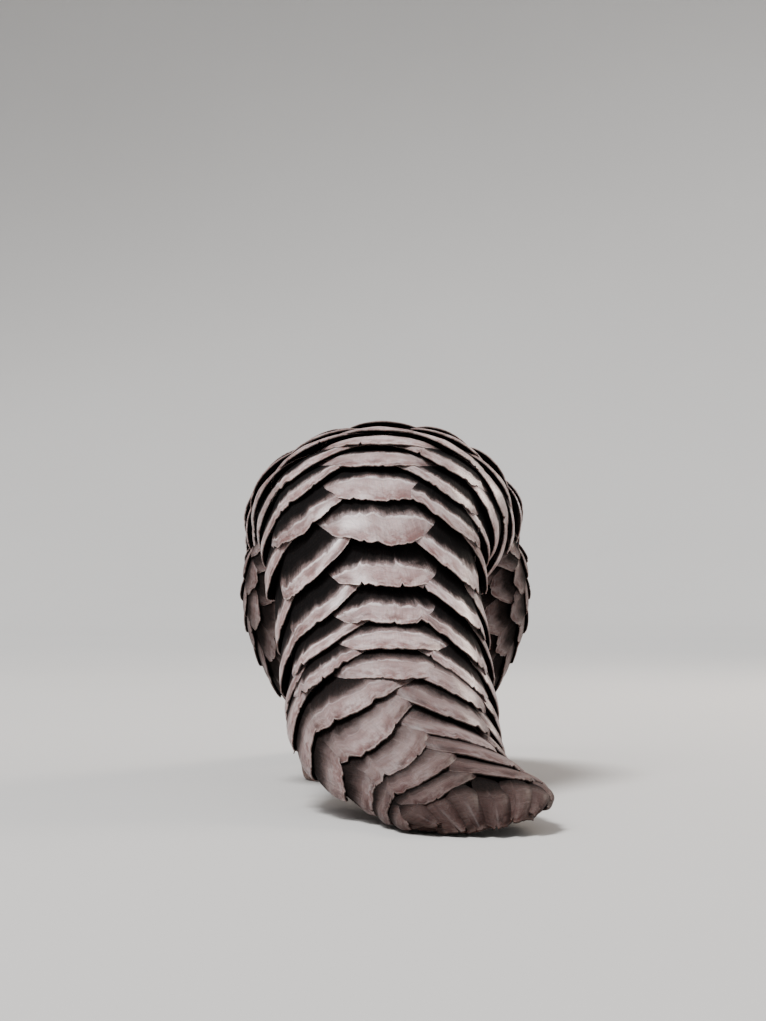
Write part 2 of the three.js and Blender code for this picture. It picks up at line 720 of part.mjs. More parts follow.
function model() {
  const group = new THREE.Group();
  const { made, clear } = bodyNodes();
  made.head = finishedHead(made.head);
  const trunk = joined([clear.neck, clear.torso_front, clear.torso_rear, clear.tail_base]);
  Object.entries(made).forEach(([name, solid]) => {
    group.add(meshOf(name, largest(aboveFloor(solid)), "scale"));
  });
  [-1, 1].forEach((side) => {
    const word = side < 0 ? "left" : "right";
    group.add(meshOf(`eye_${word}`, eyeball(body, side), "eye"));
    group.add(meshOf(`ear_${word}`, largest(earFold(body, side).subtract(clear.head)), "skin"));
  });
  Object.entries(LEGS).forEach(([name, leg]) => {
    const form = legForm(leg);
    const flesh = (grow) => core(form, 0, leg.form.length - 1, LEG_RING_STEP, LEG_SIDES, grow);
    const rows = leg.form === HIND_LEG ? HIND_SCALES : FORE_SCALES;
    const plates = legScales(form, -leg.side, rows).map((scale) => plate(form, scale));
    const solid = joined([flesh(0), ...plates]).subtract(trunk);
    group.add(meshOf(name, largest(aboveFloor(solid)), "scale"));
    footClaws(leg).forEach((nail) => {
      group.add(meshOf(nail.name, largest(aboveFloor(nail.solid.subtract(flesh(GAP)))), "claw"));
    });
  });
  group.position.set(...ORIGIN_SHIFT);
  return group;
}

export default model();
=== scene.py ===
"""A life-size ground pangolin, dressed with horn scales, skin, claws, eyes and hairs around its solids.

Sizes are in millimetres, with +Z up and the animal facing +Y. A mesh is turned into metres as it is made.
"""
import logging
import math
from collections.abc import Sequence
from dataclasses import astuple, dataclass, field, replace
from enum import Enum

import bpy
import numpy as np
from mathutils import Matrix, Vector


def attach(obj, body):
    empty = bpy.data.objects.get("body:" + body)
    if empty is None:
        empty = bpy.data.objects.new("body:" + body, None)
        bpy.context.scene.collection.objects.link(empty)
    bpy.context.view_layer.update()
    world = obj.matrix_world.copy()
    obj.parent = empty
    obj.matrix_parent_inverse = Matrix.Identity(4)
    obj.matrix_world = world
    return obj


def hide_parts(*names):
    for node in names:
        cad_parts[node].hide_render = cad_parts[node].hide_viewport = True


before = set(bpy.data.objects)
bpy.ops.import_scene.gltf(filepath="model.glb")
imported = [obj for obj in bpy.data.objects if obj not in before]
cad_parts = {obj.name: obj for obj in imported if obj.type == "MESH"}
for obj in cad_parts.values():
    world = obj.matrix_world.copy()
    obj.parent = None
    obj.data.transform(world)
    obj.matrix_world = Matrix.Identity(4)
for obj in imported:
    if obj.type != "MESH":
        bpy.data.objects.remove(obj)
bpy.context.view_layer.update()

log = logging.getLogger("pangolin")

METRES = 0.001
# Moves the sections, which are drawn from the rump, so that the model's box is centred.
BOX_SHIFT = np.array([0.0, 32.0, 0.0])
SEED = 4177

Numbers = np.ndarray | float
Table = tuple[tuple[float, ...], ...]


class Side(Enum):
    """The two sides of the animal, by the sign of X."""

    LEFT = -1
    RIGHT = 1

    @property
    def word(self) -> str:
        """The side's name as node names spell it."""
        return self.name.lower()


class Slot(Enum):
    """The record's material slots."""

    SCALE = "scale"
    SKIN = "skin"
    CLAW = "claw"
    EYE = "eye"


@dataclass(frozen=True)
class Section:
    """One cross-section of a swept form.

    at is its centre, half its half width along its widest line, rise and drop how far it reaches above
    and below that line, and roll its turn about the form's own line in degrees.
    """

    at: tuple[float, float, float]
    half: float
    rise: float
    drop: float
    roll: float = 0.0


BODY_SECTIONS = (
    Section((64, -421, 9), 27, 3, 3, 8),
    Section((62, -407, 11), 38, 7, 5, 8),
    Section((58, -385, 13), 45, 11, 7, 8),
    Section((45, -325, 16), 51, 21, 10, 6),
    Section((18, -259, 30), 59, 31, 15, 3),
    Section((8, -206, 49), 64, 39, 21),
    Section((4, -137, 82), 66, 45, 27),
    Section((-3, -84, 129), 68, 49, 34),
    Section((-6, -50, 172), 74, 52, 46),
    Section((-3, 1, 191), 91, 60, 66),
    Section((0, 55, 195), 98, 70, 76),
    Section((0, 108, 189), 96, 71, 74),
    Section((0, 158, 170), 87, 64, 66),
    Section((-1, 199, 144), 70, 51, 55),
    Section((-3, 236, 115), 50, 38, 41),
    Section((-7, 266, 92), 38, 32, 33),
    Section((-11, 290, 75), 33, 28, 27),
    Section((-16, 312, 58), 26, 22, 20),
    Section((-21, 332, 43), 17, 14, 13),
    Section((-25, 349, 31), 11, 9, 9),
    Section((-27, 358, 25), 7.5, 6.5, 6.5),
    Section((-28, 361.5, 22.5), 3, 2.5, 2.5),
)
# A leg's sections are given as distance out from its own line, distance forward and height.
HIND_SECTIONS = (
    Section((0, 6, 0), 28, 25, 23),
    Section((0, 5, 9), 31, 27, 26),
    Section((0, 0, 30), 28, 25, 24),
    Section((1, -7, 62), 34, 27, 26),
    Section((17, -8, 98), 47, 35, 33),
    Section((28, -3, 136), 54, 38, 38),
    Section((28, 2, 170), 48, 33, 38),
    Section((12, 6, 202), 32, 14, 24),
)
FORE_SECTIONS = (
    Section((0, 2, 0), 20, 19, 18),
    Section((0, 1, 8), 22, 21, 20),
    Section((0, -8, 28), 19, 17, 17),
    Section((4, -24, 56), 24, 20, 19),
    Section((8, -32, 86), 34, 25, 22),
    Section((4, -27, 120), 36, 22, 20),
    Section((-8, -20, 150), 26, 14, 14),
)


def smooth(values: np.ndarray, low: float, high: float) -> np.ndarray:
    """An eased step: 0 up to low, 1 from high on, and 3t^2 - 2t^3 between.

    Args:
        values: Numbers to ease.
        low: Where the step starts.
        high: Where it ends.

    Returns:
        Numbers from 0 to 1, one for each value.
    """
    t = np.clip((values - low) / (high - low), 0.0, 1.0)
    return t * t * (3.0 - 2.0 * t)


def bell(distance: np.ndarray, width: float) -> np.ndarray:
    """A rounded bump: e to the power of minus half the square of distance / width."""
    return np.exp(-0.5 * (distance / width) ** 2)


def read(pairs: Table, place: Numbers) -> np.ndarray:
    """Reads a list of (place, value) pairs at any place, by straight lines."""
    return np.interp(place, [pair[0] for pair in pairs], [pair[1] for pair in pairs])


def unit(vectors: np.ndarray) -> np.ndarray:
    """Vectors brought to length 1."""
    return vectors / np.linalg.norm(vectors, axis=-1, keepdims=True)


class Form:
    """A body swept through sections.

    Every number of a section follows a cubic curve through all the sections, with each section's slope
    weighing its nearer neighbour more. A place on the form is a distance along its top line, an angle
    round it from that line in degrees, and a height off its surface. Each half of a section is half an
    ellipse: centre + side * half * sin(angle) + up * rise * cos(angle), with drop in rise's place below.
    """

    steps_per_span = 40

    def __init__(self, sections: Sequence[Section], up: tuple[float, float, float]) -> None:
        """Fits the curves.

        Args:
            sections: The sections in order, placed in the model's frame before it is centred.
            up: The direction that an angle of 0 faces.
        """
        self.rows = np.array([[*s.at, s.half, s.rise, s.drop, s.roll] for s in sections], float)
        self.rows[:, :3] += BOX_SHIFT
        self.up = np.array(up, float)
        self.last = len(sections) - 1
        steps = np.diff(self.rows, axis=0)
        self.spans = np.linalg.norm(steps[:, :3], axis=1)
        slopes = steps / self.spans[:, None]
        before, after = self.spans[:-1, None], self.spans[1:, None]
        inner = (slopes[:-1] * after + slopes[1:] * before) / (before + after)
        self.slopes = np.vstack([slopes[:1], inner, slopes[-1:]])
        self.knots = np.linspace(0, self.last, self.steps_per_span * self.last + 1)
        top = self.at_section(self.knots, 0.0, 0.0)
        walked = np.cumsum(np.linalg.norm(np.diff(top, axis=0), axis=1))
        self.lengths = np.concatenate([[0.0], walked])

    @property
    def length(self) -> float:
        """Length of the top line."""
        return float(self.lengths[-1])

    def distance(self, u: Numbers) -> np.ndarray:
        """Distance along the top line at section number u."""
        return np.interp(u, self.knots, self.lengths)

    def place(self, s: Numbers) -> np.ndarray:
        """Section number at distance s along the top line."""
        return np.interp(s, self.lengths, self.knots)

    def sections_at(self, u: Numbers) -> tuple[np.ndarray, ...]:
        """Works out the sections at any section numbers.

        Args:
            u: Section numbers, whole or between.

        Returns:
            Arrays of centres, directions along, to the side and up, and of half, rise and drop.
        """
        u = np.asarray(u, float)
        i = np.clip(np.floor(u).astype(int), 0, self.last - 1)
        t = (u - i)[..., None]
        b, d = self.rows[i], self.rows[i + 1]
        m = self.slopes[i] * self.spans[i][..., None]
        n = self.slopes[i + 1] * self.spans[i][..., None]
        cube, square = 2 * b - 2 * d + m + n, 3 * d - 3 * b - 2 * m - n
        values = ((cube * t + square) * t + m) * t + b
        along = unit(((3 * cube * t + 2 * square) * t + m)[..., :3])
        side = unit(np.cross(along, self.up))
        roll = np.radians(values[..., 6:7])
        side = side * np.cos(roll) - np.cross(along, side) * np.sin(roll)
        up = np.cross(side, along)
        return values[..., :3], along, side, up, values[..., 3], values[..., 4], values[..., 5]

    def at_section(self, u: Numbers, angle: Numbers, height: Numbers) -> np.ndarray:
        """Points by section number, angle and height off the surface, which is added square to it.

        Args:
            u: Section numbers.
            angle: Angles from the top line in degrees.
            height: Heights off the surface.

        Returns:
            An array of points, one for each of the broadcast arguments.
        """
        u, angle, height = np.broadcast_arrays(u, angle, height)
        centre, _, side, up, half, rise, drop = self.sections_at(u)
        sine, cosine = np.sin(np.radians(angle)), np.cos(np.radians(angle))
        tall = np.where(cosine >= 0, rise, drop)
        out = unit(np.stack([sine / half, cosine / tall], -1))
        across = (half * sine + out[..., 0] * height)[..., None]
        upward = (tall * cosine + out[..., 1] * height)[..., None]
        return centre + side * across + up * upward

    def point(self, s: Numbers, angle: Numbers, height: Numbers) -> np.ndarray:
        """Points by distance, angle and height. Past either end the form goes on straight.

        Args:
            s: Distances along the top line.
            angle: Angles from the top line in degrees.
            height: Heights off the surface.

        Returns:
            An array of points.
        """
        s, angle, height = np.broadcast_arrays(s, angle, height)
        within = np.clip(s, 0.0, self.length)
        u = self.place(within)
        along = self.sections_at(u)[1]
        return self.at_section(u, angle, height) + along * (s - within)[..., None]


def grid_quads(rows: int, columns: int, round_rows: bool = False, round_columns: bool = False) -> np.ndarray:
    """Four-sided faces of a grid of points stored row by row.

    Args:
        rows: Number of rows.
        columns: Number of points in a row.
        round_rows: Joins the last row to the first.
        round_columns: Joins the last point of each row to its first.

    Returns:
        An array of point numbers, four for each face.
    """
    r = np.arange(rows if round_rows else rows - 1)[:, None]
    c = np.arange(columns if round_columns else columns - 1)[None, :]
    below, beside = (r + 1) % rows * columns, (c + 1) % columns
    corners = [r * columns + c, r * columns + beside, below + beside, below + c]
    return np.stack(np.broadcast_arrays(*corners), -1).reshape(-1, 4)


def fan(centre: int, ring: np.ndarray) -> np.ndarray:
    """Triangles that close a ring of point numbers on to one centre point, stored as four numbers each."""
    following = np.roll(ring, -1)
    return np.stack([np.full(len(ring), centre), ring, following, np.full(len(ring), -1)], -1)


@dataclass
class Surface:
    """Points, faces and what rides on them, ready to be a mesh.

    points are in millimetres. faces hold four point numbers each, with -1 last for a triangle. values
    holds numbers for each point by attribute name, and uv the map's place for each face corner.
    """

    points: np.ndarray
    faces: np.ndarray
    values: dict[str, np.ndarray] = field(default_factory=dict)
    uv: np.ndarray | None = None

    def volume(self) -> float:
        """The volume inside, below 0 where the faces point in."""
        a, b, c, d = (self.points[self.faces[:, k]] for k in range(4))
        first = np.einsum("ij,ij->i", a, np.cross(b, c))
        second = np.einsum("ij,ij->i", a, np.cross(c, d)) * (self.faces[:, 3] >= 0)
        return float((first + second).sum()) / 6.0

    def outward(self) -> "Surface":
        """Turns the faces round if they point in."""
        if self.volume() < 0:
            three = self.faces[:, 3] < 0
            order = np.where(three[:, None], [0, 2, 1, 3], [0, 3, 2, 1])
            self.faces = np.take_along_axis(self.faces, order, 1)
            if self.uv is not None:
                self.uv = np.take_along_axis(self.uv, order[..., None], 1)
        return self

    @staticmethod
    def tube(points: np.ndarray, ends: np.ndarray, title: str, numbers: np.ndarray) -> "Surface":
        """Closes rings of points with a fan of triangles on to a middle point at each end.

        Args:
            points: Rings by points round each ring.
            ends: The two middle points.
            title: An attribute's name.
            numbers: Its values at the rings' points and then at the two middle points.

        Returns:
            A closed surface whose faces point out.
        """
        rings, sides = points.shape[:2]
        count, ring = rings * sides, np.arange(sides)
        first, last = fan(count, ring[::-1]), fan(count + 1, ring + count - sides)
        faces = np.concatenate([grid_quads(rings, sides, round_columns=True), first, last])
        every = np.concatenate([points.reshape(-1, 3), ends])
        return Surface(every, faces, {title: numbers}).outward()

    @staticmethod
    def joined(parts: Sequence["Surface"]) -> "Surface":
        """Puts several surfaces into one.

        Args:
            parts: Surfaces with the same attributes.

        Returns:
            One surface that holds them all.
        """
        starts = np.cumsum([0, *(len(part.points) for part in parts[:-1])])
        faces = [np.where(part.faces < 0, -1, part.faces + start) for part, start in zip(parts, starts)]
        values = {name: np.concatenate([part.values[name] for part in parts]) for name in parts[0].values}
        uv = None if parts[0].uv is None else np.concatenate([part.uv for part in parts])
        return Surface(np.concatenate([part.points for part in parts]), np.concatenate(faces), values, uv)

    def to_object(self, name: str, sharp: float = 40.0) -> bpy.types.Object:
        """Makes the mesh and its object, at the origin and in metres.

        Args:
            name: The object's name.
            sharp: Edges that bend more than this many degrees stay crisp.

        Returns:
            The new object, linked to the scene.
        """
        mesh = bpy.data.meshes.new(name)
        kept = self.faces >= 0
        counts = kept.sum(1)
        mesh.vertices.add(len(self.points))
        mesh.vertices.foreach_set("co", (self.points * METRES).astype(np.float32).ravel())
        mesh.loops.add(int(counts.sum()))
        mesh.loops.foreach_set("vertex_index", self.faces[kept].astype(np.int32))
        mesh.polygons.add(len(self.faces))
        mesh.polygons.foreach_set("loop_start", (np.cumsum(counts) - counts).astype(np.int32))
        mesh.polygons.foreach_set("use_smooth", np.ones(len(self.faces), bool))
        for title, numbers in self.values.items():
            kind, part = ("FLOAT_VECTOR", "vector") if numbers.ndim == 2 else ("FLOAT", "value")
            attribute = mesh.attributes.new(title, kind, "POINT")
            attribute.data.foreach_set(part, numbers.astype(np.float32).ravel())
        if self.uv is not None:
            layer = mesh.uv_layers.new(name="OFBake")
            layer.uv.foreach_set("vector", self.uv[kept].astype(np.float32).ravel())
        mesh.update(calc_edges=True)
        mesh.set_sharp_from_angle(angle=math.radians(sharp))
        made_object = bpy.data.objects.new(name, mesh)
        bpy.context.scene.collection.objects.link(made_object)
        return made_object


Colour = tuple[float, float, float, float]


class Wire:
    """A node's output. Arithmetic on it adds Math nodes and gives the result as a new wire."""

    def __init__(self, graph: "Graph", socket: bpy.types.NodeSocket) -> None:
        """Keeps the socket and the graph that it belongs to."""
        self.graph = graph
        self.socket = socket

    def __add__(self, other: "Wire | float") -> "Wire":
        """The sum."""
        return self.graph.math("ADD", self, other)

    def __sub__(self, other: "Wire | float") -> "Wire":
        """The difference."""
        return self.graph.math("SUBTRACT", self, other)

    def __rsub__(self, other: float) -> "Wire":
        """A number less this."""
        return self.graph.math("SUBTRACT", other, self)

    def __mul__(self, other: "Wire | float") -> "Wire":
        """The product."""
        return self.graph.math("MULTIPLY", self, other)

    def __abs__(self) -> "Wire":
        """The size without its sign."""
        return self.graph.math("ABSOLUTE", self)

    def span(self, low: "Wire | float", high: "Wire | float", start: float = 0.0, end: float = 1.0) -> "Wire":
        """An eased change from start at low to end at high."""
        inputs = {"Value": self, "From Min": low, "From Max": high, "To Min": start, "To Max": end}
        return self.graph.wire("MapRange", inputs, "Result", interpolation_type="SMOOTHSTEP")


class Graph:
    """A material's node tree, with short calls that add a node and give back its output."""

    # Numbers of the Mix node's colour inputs and of its colour output.
    first_colour, second_colour, mixed_colour = 6, 7, 2

    def __init__(self, name: str) -> None:
        """Makes an empty material of that name with a Principled surface."""
        self.material = bpy.data.materials.new(name)
        self.material.use_nodes = True
        self.tree = self.material.node_tree
        self.shader = self.tree.nodes["Principled BSDF"]

    def plug(self, socket: bpy.types.NodeSocket, value: object) -> None:
        """Links a socket to a wire, or sets its number or colour."""
        if isinstance(value, Wire):
            self.tree.links.new(value.socket, socket)
        else:
            socket.default_value = value

    def add(self, kind: str, inputs: dict[int | str, object], **settings: object) -> bpy.types.Node:
        """Adds a node.

        Args:
            kind: The node's kind, without its prefix.
            inputs: Numbers, colours or wires for its inputs, by number or name.
            settings: The node's own settings by name.

        Returns:
            The node.
        """
        node = self.tree.nodes.new(f"ShaderNode{kind}")
        for title, setting in settings.items():
            setattr(node, title, setting)
        for title, value in inputs.items():
            self.plug(node.inputs[title], value)
        return node

    def wire(self, kind: str, inputs: dict, output: int | str = 0, **settings: object) -> Wire:
        """Adds a node and gives one of its outputs."""
        return Wire(self, self.add(kind, inputs, **settings).outputs[output])

    def share(self, name: str) -> Wire:
        """The number held by a named attribute of the mesh."""
        return self.wire("Attribute", {}, "Fac", attribute_name=name)

    def split(self, name: str) -> list[Wire]:
        """The three numbers of a named vector attribute."""
        whole = self.wire("Attribute", {}, "Vector", attribute_name=name)
        return [Wire(self, output) for output in self.add("SeparateXYZ", {0: whole}).outputs]

    def vector(self, x: object, y: object, z: object) -> Wire:
        """A vector of three numbers or wires."""
        return self.wire("CombineXYZ", {0: x, 1: y, 2: z})

    def place(self) -> Wire:
        """The place on the object, in metres."""
        return self.wire("TexCoord", {}, "Object")

    def math(self, operation: str, *values: object) -> Wire:
        """A Math node's result for the given numbers or wires."""
        return self.wire("Math", dict(enumerate(values)), operation=operation)

    def noise(self, where: Wire, scale: float, detail: float = 3.0, rough: float = 0.55) -> Wire:
        """Cloudy noise from 0 to 1 at a place, with scale features to a unit."""
        inputs = {"Vector": where, "Scale": scale, "Detail": detail, "Roughness": rough}
        return self.wire("TexNoise", inputs, "Fac")

    def cells(self, where: Wire, scale: float) -> Wire:
        """Distance to the nearest border between irregular cells."""
        inputs = {"Vector": where, "Scale": scale}
        return self.wire("TexVoronoi", inputs, "Distance", feature="DISTANCE_TO_EDGE")

    def mix(self, share: object, first: object, second: object, blend: str = "MIX") -> Wire:
        """A colour between two colours, by a share from 0 to 1."""
        inputs = {"Factor": share, self.first_colour: first, self.second_colour: second}
        return self.wire("Mix", inputs, self.mixed_colour, data_type="RGBA", blend_type=blend)

    def laid(self, colour: object, *layers: tuple[Wire, Colour]) -> Wire:
        """A colour with others laid over it in turn, each by its share."""
        for share, over in layers:
            colour = self.mix(share, colour, over)
        return colour

    def stained(self, share: Wire, colour: Wire, stain: Colour) -> Wire:
        """A colour multiplied by a stain, by a share from 0 to 1."""
        return self.mix(share, colour, self.mix(1.0, colour, stain, "MULTIPLY"))

    def relief(self, *layers: tuple[Wire, float]) -> Wire:
        """Relief in layers, each a height from 0 to 1 and the metres that a height of 1 stands for."""
        normal = None
        for height, distance in layers:
            inputs = {"Distance": distance, "Height": height}
            if normal is not None:
                inputs["Normal"] = normal
            normal = self.wire("Bump", inputs, "Normal")
        return normal

    def finish(self, **inputs: object) -> bpy.types.Material:
        """Sets the surface's inputs, named with _ for a space, and gives back the material."""
        for title, value in inputs.items():
            self.plug(self.shader.inputs[title.replace("_", " ")], value)
        return self.material


class HornPattern:
    """What the colour, relief and gloss of scale horn are worked out from.

    It reads the attribute lie (across and distance from the free edge in millimetres on a large scale,
    and a number of the scale's own), the attribute zone (share from root to free edge, share across
    from -1 to 1, and 1 on the underside) and the attribute grade (the band's width, how far its border
    falls towards the corners, and how dark the scale is on the whole, partly a darker tone and partly
    painted shade).

    The pale band's border is an arch over the middle of the scale, a little uneven:
    band - arch * q^2 + sway * (cloud - 0.5). beyond is the distance past it, combed the same with the
    border frayed by the threads, and polished is 1 on the band and 0 behind it.
    """

    own_step: float = 71.0
    sway: float = 12.0
    comb: float = 13.0
    # Where the frayed border's change ends and starts, on a light scale and on a dark one.
    border_behind: tuple[float, float] = (7.0, 16.0)
    border_ahead: tuple[float, float] = (-4.5, -9.0)
    dark_from: float = 0.8

    def __init__(self, graph: Graph) -> None:
        """Reads the attributes and makes the noises."""
        self.graph = graph
        self.across, self.depth, own = graph.split("lie")
        _, self.q, self.below = graph.split("zone")
        band, arch, self.shade = graph.split("grade")
        self.seed = own * self.own_step
        self.wide = graph.vector(self.across, self.depth, self.seed)
        self.cloud = graph.noise(self.wide, 0.11, 4.0, 0.6)
        self.fine = graph.noise(self.wide, 0.55, 5.0, 0.65)
        self.grain = graph.noise(self.wide, 3.2, 3.0, 0.6)
        self.threads = self.drawn(0.70, 0.05, 1.25, 4.0, 0.72)
        self.ribs = self.drawn(0.46, 0.03, 0.9, 2.0, 0.5)
        self.lines = self.drawn(0.02, 0.75, 1.0, 3.0, 0.6)
        self.thread_tone = self.threads.span(0.38, 0.64)
        border = band - self.q * self.q * arch + (self.cloud - 0.5) * self.sway
        self.beyond = self.depth - border
        self.combed = self.beyond + (self.threads - 0.5) * self.comb
        behind = self.shade.span(0.0, self.dark_from, *self.border_behind)
        ahead = self.shade.span(0.0, self.dark_from, *self.border_ahead)
        self.polished = self.combed.span(behind, ahead)
        self.scratches = self.slanting_scratches()

    def drawn(self, crowd: float, stretch: float, scale: float, detail: float, rough: float) -> Wire:
        """Noise drawn out along or across the scale: across times crowd, and depth times stretch."""
        where = self.graph.vector(self.across * crowd, self.depth * stretch, self.seed)
        return self.graph.noise(where, scale, detail, rough)

    def slanting_scratches(self) -> Wire:
        """Sparse slanting scratches, from noise stretched along one slant."""
        slanted = self.across * 1.9 + self.depth * 1.3
        lengthwise = self.depth * 0.07 - self.across * 0.09
        where = self.graph.vector(slanted, lengthwise, self.seed)
        return self.graph.noise(where, 0.9, 1.0, 0.4).span(0.735, 0.80)


@dataclass(frozen=True)
class HornFinish:
    """Weathered scale horn: a striated base that darkens to near-black painted shade under the covering
    scale, and a pale polished band along the free edge.
    """

    name: str = "weathered_horn"
    # Painted shade: the near-black deep under the scale that covers the base.
    deep: Colour = (0.0035, 0.0026, 0.0026, 1)
    # The striated base's dark tone, partly the horn's own and partly painted shade from the covering scale.
    base: Colour = (0.034, 0.023, 0.021, 1)
    rib: Colour = (0.250, 0.180, 0.168, 1)
    pale: Colour = (0.700, 0.560, 0.545, 1)
    pink: Colour = (0.360, 0.200, 0.188, 1)
    stain: Colour = (0.120, 0.062, 0.054, 1)
    # A pale growth line on the band's raised border, brightened as a painted highlight.
    line: Colour = (0.840, 0.740, 0.730, 1)
    # Paler thin horn along the free edge, brightened as a painted highlight.
    rim: Colour = (0.800, 0.640, 0.600, 1)
    # Multiplied over a scale's colour: a random darker tone, and on dark scales partly a darker tone and
    # partly painted shade.
    tone_and_shade_stain: Colour = (0.105, 0.080, 0.070, 1)
    # Painted shade: the near-black underside of a scale.
    under: Colour = (0.020, 0.013, 0.011, 1)
    # Millimetres past the band's border over which the striated base darkens into painted shade; shaded_fade
    # is added on dark scales.
    fade: float = 15.0
    shaded_fade: float = 26.0

    def build(self) -> bpy.types.Material:
        """Builds the material.

        Returns:
            The finished material.
        """
        g = Graph(self.name)
        horn = HornPattern(g)
        relief = g.relief(
            (horn.threads * (1.0 - horn.polished * 0.72), 0.00050),
            (horn.ribs * horn.shade.span(0.3, 1.0, 1.0, 0.25), 0.0012),
            (horn.beyond.span(0.9, -0.9), 0.00045),
            (horn.lines + horn.fine * 0.9, 0.00055),
            (horn.grain * 0.35 - horn.scratches, 0.00020),
        )
        gloss = (1.0 - horn.below) * horn.shade.span(0.0, 1.0, 0.55, 0.04)
        return g.finish(
            Base_Color=self.colour(g, horn),
            Roughness=horn.fine * 0.22 + horn.polished.span(0.0, 1.0, 0.74, 0.36) + horn.shade * 0.16,
            Normal=relief,
            Subsurface_Weight=0.10,
            Subsurface_Radius=(1.0, 0.36, 0.20),
            Subsurface_Scale=0.0025,
            Specular_IOR_Level=0.07,
            Coat_Weight=horn.polished * gloss,
            Coat_Roughness=0.30,
        )

    def colour(self, g: Graph, horn: HornPattern) -> Wire:
        """The whole colour: the dark base fading into painted shade under the covering scale, the band over
        it, then its border's painted highlight, the free edge's painted highlight, lines and dirt, a darker
        tone and painted shade on dark scales, and painted shade on the underside.

        Args:
            g: The material.
            horn: The horn's pattern.

        Returns:
            The colour.
        """
        # 1 by the band's border, falling to 0 deeper under the covering scale, where the base turns into
        # painted shade.
        near = 1.0 - horn.combed.span(-2.0, horn.shade * self.shaded_fade + self.fade)
        near = near * (near * horn.fine.span(0.25, 0.70, 0.45, 1.0))
        striped = g.mix(horn.thread_tone, self.base, self.rib)
        # Painted shade: near-black where the scale lies under the one before it, lighter on dark scales.
        covered_shade = g.mix(horn.shade * 0.75, self.deep, self.base)
        colour = g.mix(horn.polished, g.mix(near, covered_shade, striped), self.band(g, horn))
        # A painted highlight along the band's raised border, shown in places and fainter on dark scales.
        border = horn.beyond.span(-2.6, -0.8) * horn.beyond.span(1.2, 0.0)
        border_highlight_shown = horn.cloud.span(0.36, 0.60, 0.15, 0.80) * horn.shade.span(0.1, 0.6, 1.0, 0.2)
        colour = g.laid(
            colour,
            (border * border_highlight_shown, self.line),
            # The free edge's paler thin horn, brightened as a painted highlight in places.
            (horn.depth.span(1.5, 0.2) * horn.fine.span(0.35, 0.62, 0.15, 0.75), self.rim),
            (horn.lines.span(0.50, 0.68) * horn.polished.span(0.0, 1.0, 0.02, 0.20), self.stain),
            (horn.scratches * horn.polished.span(0.0, 1.0, 0.10, 0.55), self.base),
        )
        tone = g.noise(g.vector(horn.seed, 3.0, 7.0), 1.0, 0.0)
        colour = g.stained(tone.span(0.35, 0.72, 0.0, 0.28), colour, self.tone_and_shade_stain)
        # Darker scales by their shade: partly a darker tone, partly painted shade on the lower tail and legs.
        colour = g.stained(horn.shade * 0.95, colour, self.tone_and_shade_stain)
        # The underside gets its painted shade.
        return g.mix(horn.below, colour, self.under)

    def band(self, g: Graph, horn: HornPattern) -> Wire:
        """The polished band's colour: palest at its inner border, pinker and dented near the free edge.

        Args:
            g: The material.
            horn: The horn's pattern.

        Returns:
            The colour.
        """
        mottle = g.noise(horn.wide, 0.15, 5.0, 0.62).span(0.40, 0.60)
        dents = horn.cloud.span(0.52, 0.64) * horn.depth.span(12.0, 4.0)
        corners = abs(horn.q).span(0.30, 0.80) * horn.thread_tone.span(0.0, 1.0, 0.30, 0.75)
        colour = g.laid(
            self.pale,
            (mottle * horn.depth.span(17.0, 1.0, 0.28, 1.0), self.pink),
            (dents * 0.70, self.stain),
            (horn.fine.span(0.57, 0.76) * 0.5, self.stain),
            (horn.threads.span(0.62, 0.40) * 0.26, self.rib),
            (corners, self.rib),
        )
        dull = g.noise(horn.wide, 0.05, 2.0, 0.5).span(0.40, 0.62, 0.0, 0.45)
        return g.stained(dull, colour, self.pink)


@dataclass(frozen=True)
class SkinFinish:
    """Bare skin, creased and dull, with painted shade: near-black under the scales and darker in its creases.
    The attribute bare is 1 on open skin and 0 under the scales.
    """

    name: str = "creased_skin"
    # Painted shade: the skin under the scales is near-black.
    covered_shade: Colour = (0.024, 0.016, 0.013, 1)
    open: Colour = (0.235, 0.165, 0.140, 1)
    blush: Colour = (0.330, 0.205, 0.175, 1)
    # Painted shade in the skin's creases; the same colour also darkens a fine mottle.
    crease: Colour = (0.085, 0.055, 0.046, 1)

    def build(self) -> bpy.types.Material:
        """Builds the material.

        Returns:
            The finished material.
        """
        g = Graph(self.name)
        where = g.place()
        cloud = g.noise(where, 38.0, 4.0)
        fine = g.noise(where, 900.0, 4.0, 0.65)
        creases = g.cells(g.mix(0.12, where, g.noise(where, 160.0)), 330.0)
        open_skin = g.laid(
            self.open,
            (cloud.span(0.38, 0.66), self.blush),
            # Painted shade along the creases.
            (creases.span(0.10, 0.0) * 0.55, self.crease),
            (fine.span(0.50, 0.72) * 0.35, self.crease),
        )
        return g.finish(
            Base_Color=g.mix(g.share("bare"), self.covered_shade, open_skin),
            Roughness=fine * 0.25 + 0.52,
            Normal=g.relief((creases.span(0.0, 0.16), 0.00035), (fine, 0.00030), (cloud, 0.0012)),
            Subsurface_Weight=0.12,
            Subsurface_Radius=(1.0, 0.35, 0.20),
            Subsurface_Scale=0.002,
        )


